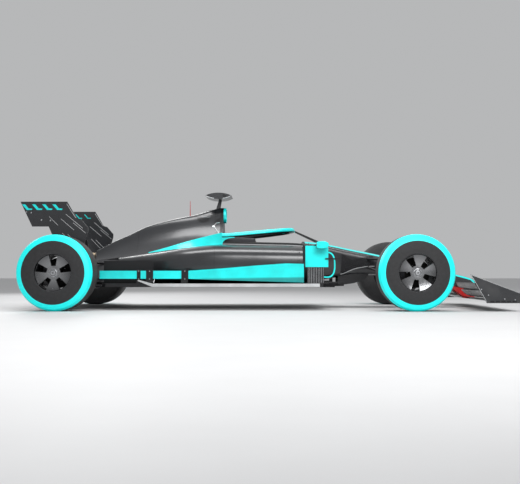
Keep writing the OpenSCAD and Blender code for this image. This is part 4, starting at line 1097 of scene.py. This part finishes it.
def build_cockpit():
    """Rubber trim and a pale line along the tub's rim, the line a painted highlight, seat belts and their
    buckle.
    """
    path = rim_path()
    trim, line = Shape(), Shape()
    for s in SIDES:
        trim.pipe([(p.x, s * p.y, p.z + 0.0045) for p in path], 0.0085, 10)
        # pale line below the rim: painted highlight
        line.pipe([(p.x, s * (p.y + 0.0095), p.z - 0.012) for p in path], 0.0035)
    trim.piece("cockpit_trim", "boot_rubber", smooth=True)
    line.piece("cockpit_rim_highlight", "pale_trim", smooth=True)
    seat = surface("seat")
    rear = node_box("seat")[0].x
    belts = Shape()
    for s in SIDES:
        strap(belts, seat, (rear + 0.02, s * 0.085), (rear + 0.32, s * 0.025), 14, 0.048)
        strap(belts, seat, (rear + 0.32, s * 0.030), (rear + 0.34, s * 0.160), 8, 0.044)
    strap(belts, seat, (rear + 0.325, 0.0), (rear + 0.435, 0.0), 6, 0.040)
    belts.piece("belts", "belt_web")
    place = top_at(seat, rear + 0.322, 0.0)
    buckle = Shape()
    for dx, dz, radius, height, steps, bevel in ((0.0, 0.005, 0.032, 0.012, 28, 0.003),
                                                 (0.0018, 0.017, 0.015, 0.004, 20, 0.001)):
        buckle.disc(place + Vector((dx, 0, dz)), (0.15, 0, 1), radius, height, steps, bevel)
    buckle.piece("belt_buckle", "machined_alloy")


PAD_INSET = Vector((0.014, 0.014, 0.012))
PAD_VOXEL, PAD_SWELL, PAD_PRESSURE, PAD_FRAMES = 0.008, 0.008, 4.0, 20


def build_pad():
    """Headrest as a stuffed pad, swollen by cloth pressure from a shape a little inside its solid."""
    low, high = node_box("headrest")
    middle, size = (low + high) / 2, high - low
    mesh = bpy.data.meshes.new("headrest_pad")
    shape = bmesh.new()
    shape.from_mesh(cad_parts["headrest"].data)
    bmesh.ops.remove_doubles(shape, verts=shape.verts, dist=1e-5)
    for v in shape.verts:
        v.co = middle + Vector((v.co[i] - middle[i]) * (1 - 2 * PAD_INSET[i] / size[i]) for i in range(3))
    shape.to_mesh(mesh)
    shape.free()
    mesh.materials.clear()
    pad = bpy.data.objects.new("headrest_pad", mesh)
    bpy.context.scene.collection.objects.link(pad)
    voxel = pad.modifiers.new("Remesh", "REMESH")
    voxel.mode = "VOXEL"
    voxel.voxel_size = PAD_VOXEL
    freeze(pad)
    soften(pad, 12)
    puff(pad)
    pad.modifiers.new("Subdivision", "SUBSURF").levels = 1
    freeze(pad)
    pad.data.shade_smooth()
    pad.data.materials.append(MATS["headrest_cloth"])
    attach(pad, "chassis")
    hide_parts("headrest")
    seam_on(pad, low, high)


def freeze(obj):
    """Applies an object's modifiers to its mesh."""
    graph = bpy.context.evaluated_depsgraph_get()
    mesh = bpy.data.meshes.new_from_object(obj.evaluated_get(graph))
    obj.modifiers.clear()
    obj.data = mesh


def soften(obj, rounds):
    """Rounds an object's edges by averaging neighbours."""
    shape = bmesh.new()
    shape.from_mesh(obj.data)
    for _ in range(rounds):
        bmesh.ops.smooth_vert(shape, verts=shape.verts, factor=0.5, use_axis_x=True, use_axis_y=True,
                              use_axis_z=True)
    shape.to_mesh(obj.data)
    shape.free()


def puff(obj):
    """Swells a closed cover by pressure; no point moves further than the swell."""
    scene = bpy.context.scene
    rest = [v.co.copy() for v in obj.data.vertices]
    skin = obj.modifiers.new("Cloth", "CLOTH")
    skin.settings.use_pressure = True
    skin.settings.uniform_pressure_force = PAD_PRESSURE
    skin.settings.effector_weights.gravity = 0.0
    skin.settings.quality = 5
    skin.point_cache.frame_start = 1
    skin.point_cache.frame_end = PAD_FRAMES
    for number in range(1, PAD_FRAMES + 1):
        scene.frame_set(number)
    graph = bpy.context.evaluated_depsgraph_get()
    moved = [v.co.copy() for v in obj.evaluated_get(graph).data.vertices]
    obj.modifiers.clear()
    for vertex, start, end in zip(obj.data.vertices, rest, moved):
        step = end - start
        if step.length > PAD_SWELL:
            step = step.normalized() * PAD_SWELL
        vertex.co = start + step
    scene.frame_set(1)


def seam_on(pad, low, high):
    """Sewn piping along the pad's top."""
    tree = BVHTree.FromPolygons([v.co.copy() for v in pad.data.vertices],
                                [list(p.vertices) for p in pad.data.polygons])
    half = (high.y - low.y) / 2
    flat = [(high.x - 0.035, half - 0.035), (low.x + 0.06, half - 0.035), (low.x + 0.035, half - 0.06)]
    flat = [Vector(p) for p in flat] + [Vector((x, -y)) for x, y in reversed(flat)]
    path = [a.lerp(b, k / 12) for a, b in zip(flat, flat[1:]) for k in range(12)]
    seam = Shape()
    seam.pipe([top_at(tree, x, y) for x, y in path], 0.0024)
    seam.piece("headrest_piping", "belt_web", smooth=True)


# The steering wheel's middle and rake as in the CAD, and its face along its own axis
WHEEL_CENTRE, WHEEL_RAKE, WHEEL_FACE = (0.2064, 0.0, 0.548), 14.0, -0.0171
# Its controls: name, finish, places of (y, z), radius and height
CONTROLS = (
    ("wheel_buttons", "cyan_paint", ((0.058, 0.040), (0.058, 0.022), (-0.058, 0.040), (-0.058, 0.022)),
     0.0065, 0.005),
    ("wheel_buttons_red", "red_paint", ((0.056, 0.060), (-0.056, 0.060), (0.058, -0.046)), 0.0065, 0.005),
    ("wheel_knobs", "machined_alloy", ((0.0, -0.045), (0.033, -0.028), (-0.033, -0.028)), 0.012, 0.011))
PADDLE = ((0.030, -0.010), (0.095, -0.020), (0.112, 0.000), (0.108, 0.034), (0.090, 0.040),
          (0.030, 0.018))
COLLAR = ((0.0145, 0.0), (0.027, 0.0), (0.030, 0.003), (0.030, 0.014), (0.024, 0.022), (0.0145, 0.022))
GRIP_RADII = (0.0150, 0.0185, 0.0195, 0.0190, 0.0195, 0.0190, 0.0195, 0.0185, 0.0150)


def build_steering_wheel():
    """Display, buttons, knobs, grips, paddles and the quick release, all on the wheel's own plane."""
    turn = Matrix.Translation(WHEEL_CENTRE) @ Matrix.Rotation(math.radians(WHEEL_RAKE), 4, "Y")
    ahead = turn.to_3x3() @ Vector((1.0, 0.0, 0.0))
    body = "steering_wheel"
    face = WHEEL_FACE
    screen, lamps, grips, paddles, collar = (Shape() for _ in range(5))
    screen.block((face - 0.004, -0.046, 0.004), (face, 0.046, 0.050), turn, 0.004)
    screen.piece("wheel_screen", "black_gloss", body=body)
    for k in range(9):
        y = -0.036 + 0.009 * k
        lamps.block((face - 0.0055, y - 0.003, 0.0545), (face, y + 0.003, 0.0600), turn, 0.001)
    lamps.piece("shift_lamps", "cyan_paint", body=body)
    for name, mat, spots, radius, height in CONTROLS:
        shape = Shape()
        for y, z in spots:
            shape.disc(turn @ Vector((face, y, z)), -ahead, radius, height, 20, 0.0015)
            if name == "wheel_knobs":
                shape.block((face - height - 0.0022, y - 0.0012, z + 0.001),
                            (face - height + 0.0008, y + 0.0012, z + 0.011), turn)
        shape.piece(name, mat, body=body, smooth=True)
    for s in SIDES:
        path = [turn @ Vector((0.0, s * (0.1215 - 0.010 * (k / 4) ** 2), 0.0125 * k)) for k in range(-4, 5)]
        grips.pipe(path, GRIP_RADII, 18)
        paddles.loft([[(x, s * y, z) for y, z in PADDLE] for x in (0.024, 0.0275)], turn)
    grips.piece("wheel_grips", "boot_rubber", body=body, smooth=True)
    paddles.block((0.0171, -0.034, -0.012), (0.0275, 0.034, 0.020), turn, 0.004)
    paddles.piece("shift_paddles", "black_carbon", body=body)
    collar.lathe(COLLAR, turn @ Vector((0.030, 0.0, 0.0)), ahead)
    collar.piece("quick_release", "machined_alloy", body=body, smooth=True)


# Radiators: Y, Z and depth behind the mouth of their cores, counts of fins and tubes, frame's width
CORE_Y, CORE_Z, CORE_BACK = (0.365, 0.600), (0.290, 0.525), (0.20, 0.16)
CORE_FINS, CORE_TUBES, CORE_FRAME = 30, 13, 0.012


def build_inlets():
    """Radiator cores with their frames, set back inside the sidepod mouths."""
    front = node_box("sidepods")[1].x
    fins, frames = Shape(), Shape()
    x0, x1 = (front - back for back in CORE_BACK)
    (y0, y1), (z0, z1), f = CORE_Y, CORE_Z, CORE_FRAME
    for z in cells(z0, z1, CORE_FINS):
        fins.blocks((x0, y0, z - 0.0012), (x1, y1, z + 0.0012))
    for y in cells(y0, y1, CORE_TUBES):
        fins.blocks((x0 + 0.004, y - 0.003, z0), (x1 - 0.006, y + 0.003, z1))
    for low_y, low_z, high_y, high_z in ((y0 - f, z0 - f, y1 + f, z0), (y0 - f, z1, y1 + f, z1 + f),
                                         (y0 - f, z0, y0, z1), (y1, z0, y1 + f, z1)):
        frames.blocks((x0 - 0.006, low_y, low_z), (x1 + 0.006, high_y, high_z), 0.003)
    fins.piece("radiator_cores", "dark_alloy")
    frames.piece("radiator_frames", "machined_alloy")


# Rear faces of the mirrors along X
MIRROR_REAR = 0.4664
# Webs under the halo: Y of both faces, length, height, and their foot below the halo's top
WEB_Y, WEB_LONG, WEB_HIGH, WEB_FOOT = (0.3365, 0.3465), 0.120, 0.075, 0.176
# Painted highlights on the edges of the deflector slats: count, front and rear end ahead of the sidepods,
# lower and upper end
SLATS, SLATS_FRONT, SLATS_REAR, SLAT_LOW, SLAT_HIGH = 10, 0.190, 0.040, 0.243, 0.384


def build_glass():
    """Mirror glass, camera windows with pale lower edges, and the rear lamp's rows."""
    low, high = node_box("mirrors")
    mid_z, rear = (low.z + high.z) / 2, MIRROR_REAR
    glass, edges, windows, rows = (Shape() for _ in range(4))
    for s in SIDES:
        y0, y1 = sorted((s * (high.y - 0.086), s * (high.y - 0.004)))
        ring = [(y0 + 0.012, -0.019), (y1 - 0.012, -0.019), (y1, -0.010), (y1, 0.010), (y1 - 0.012, 0.019),
                (y0 + 0.012, 0.019), (y0, 0.010), (y0, -0.010)]
        glass.loft([[(x, y, mid_z + z) for y, z in ring] for x in (rear - 0.0025, rear + 0.001)])
    glass.piece("mirror_glass", "mirror_glass")
    pod_low, pod_high = node_box("camera_pod")
    span, drop = (pod_high.x - pod_low.x) / 2, 0.0305
    mid = Vector(((pod_low.x + pod_high.x) / 2, 0.0, pod_high.z - drop))
    for s in SIDES:
        for start, end in ((196, 250), (290, 344)):
            angles = [math.radians(start + (end - start) * k / 8) for k in range(9)]
            edges.pipe([mid + Vector((span * math.cos(a) * 0.985, s * pod_high.y,
                                      0.003 - drop * abs(math.sin(a)) ** 1.5)) for a in angles], 0.0038)
        spot = mid + Vector((span * 0.45, s * pod_high.y, 0.002))
        windows.disc(spot, (0, s, 0), 0.016, 0.0035, 24, 0.001)
    edges.piece("camera_edges", "pale_trim", smooth=True)
    windows.piece("camera_windows", "black_gloss", smooth=True)
    lamp_low, lamp_high = node_box("rear_light")
    mid_y = (lamp_low.y + lamp_high.y) / 2
    for i in (-1, 0, 1):
        for j in range(4):
            rows.disc((lamp_low.x, mid_y + 0.015 * i, lamp_low.z + 0.012 * (j + 1)), (-1, 0, 0),
                      0.0048, 0.002, 12, 0.0008)
    rows.piece("rear_lamp_rows", "rear_lens")


def build_trim():
    """End caps on the mirrors, curved webs from the fairings to the halo, bright strips on the slats' edges
    as painted highlights.
    """
    out = node_box("mirrors")[1].y
    points = {(round(v.co.x, 5), round(v.co.z, 5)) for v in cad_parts["mirrors"].data.vertices
              if v.co.y > out - 0.0005}
    mid_x, mid_z = (sum(values) / len(points) for values in zip(*points))
    ring = sorted(points, key=lambda p: math.atan2(p[1] - mid_z, p[0] - mid_x))
    caps, webs, edges = Shape(), Shape(), Shape()
    for s in SIDES:
        caps.loft([[(mid_x + (x - mid_x) * k, s * (out + rise), mid_z + (z - mid_z) * k) for x, z in ring]
                   for k, rise in ((1.0, -0.001), (1.0, 0.0012), (0.95, 0.0024))])
    caps.piece("mirror_caps", "cyan_paint")
    back = node_box("halo_fairings")[1].x
    foot = node_box("halo")[1].z - WEB_FOOT
    outline = [(back - 0.002, foot + WEB_HIGH), (back - 0.002, foot)]
    outline += [(back + 0.004 + 0.116 * (1 - math.cos(a)) ** 1.25, foot + 0.068 * math.sin(a))
                for a in (math.pi / 2 * k / 10 for k in range(11))]
    webs.plates(outline + [(back + WEB_LONG, foot + WEB_HIGH)], *WEB_Y)
    webs.piece("halo_webs", "cyan_paint")
    front = node_box("sidepods")[1].x
    tree = surface("deflector_slats")
    for x in cells(front + SLATS_FRONT, front + SLATS_REAR, SLATS):
        y = meet_side(tree, x, (SLAT_LOW + SLAT_HIGH) / 2, 1)[0].y
        # bright alloy strips: painted highlights on the slats' edges
        edges.blocks((x - 0.0016, y - 0.001, SLAT_LOW), (x + 0.0016, y + 0.001, SLAT_HIGH))
    edges.piece("slat_edge_highlights", "machined_alloy")


# Black panel on the nose's side: its upper and its lower edge, X and Z, and its count of ribs
NOSE_PANEL_TOP = ((0.738, 0.5185), (0.839, 0.459), (0.9685, 0.488), (1.043, 0.506))
NOSE_PANEL_LOW = ((0.7255, 0.322), (0.760, 0.332), (0.792, 0.346), (0.836, 0.365), (0.887, 0.382),
                  (0.970, 0.396), (1.055, 0.401))
NOSE_RIBS = 22


def along_line(points, share):
    """The point at a share of the way along a line of (x, z) points, each piece counted alike."""
    place = share * (len(points) - 1)
    i = min(int(place), len(points) - 2)
    return Vector(points[i]).lerp(Vector(points[i + 1]), place - i)


def nose_skin(shape, tree, side, shares, lift, sink, across=8):
    """A thin skin on the nose's side between the panel's edges, at some shares of the way along them."""
    out = Vector((0.0, side, 0.0))
    rings = []
    for share in shares:
        top, low = along_line(NOSE_PANEL_TOP, share), along_line(NOSE_PANEL_LOW, share)
        met = [meet_side(tree, *top.lerp(low, j / across), side)[0] for j in range(across + 1)]
        rings.append([p + out * lift for p in met] + [p - out * sink for p in reversed(met)])
    shape.loft(rings)


def build_nose_panels():
    """Black ribbed panels on the nose's sides, each with a pale lower edge."""
    tree = surface("monocoque", "nose_deck")
    panels, ribs, edges = Shape(), Shape(), Shape()
    for s in SIDES:
        nose_skin(panels, tree, s, [i / 36 for i in range(37)], 0.0015, 0.002)
        for middle in cells(0.0, 1.0, NOSE_RIBS):
            nose_skin(ribs, tree, s, (middle - 0.003, middle + 0.003), 0.0032, 0.001)
        route = [along_line(NOSE_PANEL_LOW, k / 24) for k in range(25)]
        edges.pipe([meet_side(tree, x, z, s)[0] for x, z in route], 0.0035)
    panels.piece("nose_panels", "slot_black", smooth=True)
    ribs.piece("nose_panel_ribs", "dark_alloy", "black_carbon")
    edges.piece("nose_panel_edges", "pale_trim", smooth=True)


# Fasteners on the panels: node, then X and Z where a ray from the side meets it
FASTENERS = (
    ("engine_cover", ((-0.47, 0.66), (-0.47, 0.72), (-0.70, 0.62), (-0.90, 0.60), (-1.10, 0.56),
                      (-1.30, 0.53), (-1.50, 0.50), (-0.62, 0.78), (-0.84, 0.74), (-1.05, 0.68),
                      (-1.25, 0.63))),
    ("sidepods", ((0.315, 0.52), (0.315, 0.45), (0.315, 0.38), (0.315, 0.31), (0.0, 0.555), (-0.2, 0.555),
                  (-0.4, 0.55), (-0.6, 0.54), (-0.8, 0.52), (-1.0, 0.49), (-0.30, 0.30), (-0.55, 0.30))),
    ("nose_deck", ((1.440, 0.375), (1.440, 0.395), (0.95, 0.50), (0.75, 0.535), (0.42, 0.615))),
    ("nose_cone", ((1.492, 0.37), (1.492, 0.33), (1.492, 0.30))),
    ("monocoque", ((1.30, 0.36), (1.10, 0.36), (0.90, 0.36), (0.70, 0.37), (0.45, 0.48))),
)


def build_fasteners():
    """Quarter-turn fasteners on the body panels."""
    heads = Shape()
    for node, spots in FASTENERS:
        tree = surface(node)
        for x, z in spots:
            for s in SIDES:
                place, normal = meet_side(tree, x, z, s)
                heads.disc(place - normal * 0.0015, normal, sizes().fastener_r, 0.0026, 14, 0.0008)
    heads.piece("panel_fasteners", "dark_alloy", smooth=True)


def build_underside():
    """Bolted skid blocks on the plank, and the bead round the exhaust's end."""
    low, high = node_box("plank")
    skids = Shape()
    for x in (high.x - 0.12, (low.x + high.x) / 2, low.x + 0.12):
        for y in (-0.09, 0.09):
            skids.block((x - 0.05, y - 0.03, low.z - 0.002), (x + 0.05, y + 0.03, low.z + 0.001))
            for dx in (-0.035, 0.035):
                skids.disc((x + dx, y, low.z - 0.002), DOWN, 0.007, 0.0015, 12, 0.0005)
    skids.piece("skid_blocks", "machined_alloy")
    low, high = node_box("exhaust")
    bead = Shape()
    bead.lathe([(0.0415, 0.0), (0.0445, 0.001), (0.0445, 0.011), (0.0425, 0.012)],
               (low.x + 0.001, (low.y + high.y) / 2, (low.z + high.z) / 2), (1, 0, 0), 40)
    bead.piece("exhaust_bead", "exhaust_steel", smooth=True)


def build_tail():
    """Webs on the gearbox, a jacking hook, the rear lamp's bezel and a lip along the rear flap."""
    webs, hook, bezel, lip = (Shape() for _ in range(4))
    low, high = node_box("gearbox")
    axle = wheel_centre("rear_left").x
    side = (high.y - low.y) / 2 - 0.020
    for x in (axle + 0.200, axle + 0.130, axle - 0.085):
        top = high.z - 0.085 * (high.x - x) / (high.x - low.x) - 0.006
        webs.plates(rect(x - 0.003, low.z + 0.06, x + 0.003, top), side - 0.001, side + 0.007)
    webs.piece("gearbox_webs", "cast_alloy")
    low, high = node_box("crash_structure")
    x = (low.x + high.x) / 2 - 0.012
    hook.pipe([(x, y, z) for y, z in ((-0.030, 0.331), (-0.030, 0.298), (-0.020, 0.288), (0.020, 0.288),
                                      (0.030, 0.298), (0.030, 0.331))], 0.006, 12)
    hook.piece("jacking_hook", "machined_alloy", smooth=True)
    low, high = node_box("rear_light")
    mid, half = (low + high) / 2, (high - low) / 2
    for y0, z0, y1, z1 in ((-1.0, 0.90, 1.0, 1.04), (-1.0, -1.04, 1.0, -0.90), (-1.06, -0.95, -0.92, 0.95),
                           (0.92, -0.95, 1.06, 0.95)):
        bezel.block((low.x - 0.0015, y0 * half.y, mid.z + z0 * half.z),
                    (high.x - 0.002, y1 * half.y, mid.z + z1 * half.z))
    bezel.piece("rear_lamp_bezel", "boot_rubber")
    low, high = node_box("rear_wing_flap")
    lip.block((low.x + 0.0002, low.y + 0.002, high.z - 0.006),
              (low.x + 0.0022, high.y - 0.002, high.z + 0.009))
    lip.piece("rear_flap_lip", "black_carbon")


FLOOR_HALF = 60.0
SKY, SKY_STRENGTH = (0.86, 0.87, 0.88, 1.0), 0.55
# Area lights: name, place, power, size and aim
LIGHTS = (("top_panel", (0.0, -0.6, 4.2), 180.0, (5.0, 1.6), (0.0, 0.0, 0.3)),
          ("near_panel", (1.5, -6.0, 3.4), 260.0, (4.0, 2.0), (0.0, 0.0, 0.5)),
          ("far_panel", (-3.5, 5.0, 3.6), 160.0, (4.0, 2.0), (0.0, 0.0, 0.5)))
CAMERA_X, CAMERA_Z, CAMERA_TILT, CAMERA_TURN = 0.05, 0.32, 92.3, 0.707


def build_stage():
    """Floor, soft lights and pale surroundings."""
    scene = bpy.context.scene
    look = Finish("studio_floor", Roughness=0.6)
    pale = colours().floor
    look.done(look.mix(look.grain(3.0), scaled(pale, 0.97), pale))
    mesh = bpy.data.meshes.new("studio_floor")
    h = FLOOR_HALF
    mesh.from_pydata([(-h, -h, 0), (h, -h, 0), (h, h, 0), (-h, h, 0)], [], [[0, 1, 2, 3]])
    mesh.materials.append(look.mat)
    floor = bpy.data.objects.new("studio_floor", mesh)
    scene.collection.objects.link(floor)
    scene.world = bpy.data.worlds.new("studio")
    scene.world.use_nodes = True
    back = scene.world.node_tree.nodes["Background"]
    back.inputs[0].default_value = SKY
    back.inputs[1].default_value = SKY_STRENGTH
    for name, place, power, area, aim in LIGHTS:
        data = bpy.data.lights.new(name, "AREA")
        data.shape = "RECTANGLE"
        data.size, data.size_y = area
        data.energy = power
        lamp = bpy.data.objects.new(name, data)
        lamp.location = place
        lamp.rotation_euler = (Vector(aim) - Vector(place)).to_track_quat("-Z", "Y").to_euler()
        scene.collection.objects.link(lamp)


def build_camera():
    """A nearly level view of the right side from low down, as in the photo."""
    scene = bpy.context.scene
    data = bpy.data.cameras.new("photo_view")
    data.sensor_width = SENSOR_MM
    data.lens = SENSOR_MM * FOCAL_PX / PHOTO_W
    data.clip_end = 200.0
    camera = bpy.data.objects.new("photo_view", data)
    camera.location = (CAMERA_X, -sizes().camera_back, CAMERA_Z)
    camera.rotation_euler = (math.radians(CAMERA_TILT), 0.0, math.radians(CAMERA_TURN))
    scene.collection.objects.link(camera)
    scene.camera = camera
    scene.view_settings.view_transform = "Standard"


class CarStep:
    """Runs one operator's builders in order."""

    builders = ()

    def execute(self, context):
        for build in self.builders:
            build()
        return {"FINISHED"}


class CAR_OT_finishes(CarStep, bpy.types.Operator):
    """Makes the finishes and gives every CAD node its own"""

    bl_idname = "car.finishes"
    bl_label = "Finishes"
    builders = (make_materials, dress_nodes)


class CAR_OT_brakes(CarStep, bpy.types.Operator):
    """Brake discs, calipers, dished spokes, nuts and valves"""

    bl_idname = "car.brakes"
    bl_label = "Brakes and wheel fittings"
    builders = (build_brakes, build_dishes)


class CAR_OT_wings(CarStep, bpy.types.Operator):
    """Inlays, painted highlights along slit edges, painted shade in the slots, bolts and brackets of both
    wings
    """

    bl_idname = "car.wings"
    bl_label = "Wing fittings"
    builders = (build_rear_wing, build_front_wing)


class CAR_OT_rails(CarStep, bpy.types.Operator):
    """Clamps, edge strips and stays along the floor"""

    bl_idname = "car.rails"
    bl_label = "Side rails and floor edge"
    builders = (build_rails,)


class CAR_OT_airbox(CarStep, bpy.types.Operator):
    """Dark panels, some of them painted shade, edge lines, painted highlight spots and filter of the airbox
    """

    bl_idname = "car.airbox"
    bl_label = "Airbox"
    builders = (build_airbox,)


class CAR_OT_cockpit(CarStep, bpy.types.Operator):
    """Rim trim, a painted highlight along the rim, and belts"""

    bl_idname = "car.cockpit"
    bl_label = "Cockpit"
    builders = (build_cockpit,)


class CAR_OT_pad(CarStep, bpy.types.Operator):
    """Stuffed headrest with its piping"""

    bl_idname = "car.pad"
    bl_label = "Headrest pad"
    builders = (build_pad,)


class CAR_OT_wheel(CarStep, bpy.types.Operator):
    """Screen, buttons, grips and paddles"""

    bl_idname = "car.wheel"
    bl_label = "Steering wheel fittings"
    builders = (build_steering_wheel,)


class CAR_OT_inlets(CarStep, bpy.types.Operator):
    """Radiator cores in the sidepod mouths"""

    bl_idname = "car.inlets"
    bl_label = "Radiators"
    builders = (build_inlets,)


class CAR_OT_glass(CarStep, bpy.types.Operator):
    """Mirror glass, camera windows, rear lamp, body trim with painted highlights on the slats, and the
    nose's side panels
    """

    bl_idname = "car.glass"
    bl_label = "Glass, lamps and trim"
    builders = (build_glass, build_trim, build_nose_panels)


class CAR_OT_fasteners(CarStep, bpy.types.Operator):
    """Fasteners on the body panels"""

    bl_idname = "car.fasteners"
    bl_label = "Panel fasteners"
    builders = (build_fasteners,)


class CAR_OT_underside(CarStep, bpy.types.Operator):
    """Skid blocks, the exhaust's bead and the tail's fittings"""

    bl_idname = "car.underside"
    bl_label = "Underside and tail"
    builders = (build_underside, build_tail)


class CAR_OT_stage(CarStep, bpy.types.Operator):
    """Pale studio floor, soft lights and the photo's camera"""

    bl_idname = "car.stage"
    bl_label = "Studio"
    builders = (build_stage, build_camera)


class CAR_PT_panel(bpy.types.Panel):
    """Builds the car's fittings piece by piece"""

    bl_idname = "CAR_PT_panel"
    bl_label = "Racing Car"
    bl_space_type = "VIEW_3D"
    bl_region_type = "UI"
    bl_category = "Racing Car"

    def draw(self, context):
        layout = self.layout
        for group in (context.scene.car_sizes, context.scene.car_colours):
            for key in group.__annotations__:
                layout.prop(group, key)
        for operator in OPERATORS:
            layout.operator(operator.bl_idname)


OPERATORS = (CAR_OT_finishes, CAR_OT_brakes, CAR_OT_wings, CAR_OT_rails, CAR_OT_airbox,
             CAR_OT_cockpit, CAR_OT_pad, CAR_OT_wheel, CAR_OT_inlets,
             CAR_OT_glass, CAR_OT_fasteners, CAR_OT_underside, CAR_OT_stage)
CLASSES = (CarSizes, CarColours) + OPERATORS + (CAR_PT_panel,)


def register():
    """Adds the car's classes and settings."""
    for item in CLASSES:
        bpy.utils.register_class(item)
    bpy.types.Scene.car_sizes = PointerProperty(type=CarSizes)
    bpy.types.Scene.car_colours = PointerProperty(type=CarColours)


def unregister():
    """Takes them away again."""
    del bpy.types.Scene.car_colours
    del bpy.types.Scene.car_sizes
    for item in reversed(CLASSES):
        bpy.utils.unregister_class(item)


def main():
    """Builds everything in order."""
    register()
    bpy.ops.car.finishes()
    bpy.ops.car.brakes()
    bpy.ops.car.wings()
    bpy.ops.car.rails()
    bpy.ops.car.airbox()
    bpy.ops.car.cockpit()
    bpy.ops.car.pad()
    bpy.ops.car.wheel()
    bpy.ops.car.inlets()
    bpy.ops.car.glass()
    bpy.ops.car.fasteners()
    bpy.ops.car.underside()
    bpy.ops.car.stage()
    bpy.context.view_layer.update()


if __name__ == "__main__":
    main()
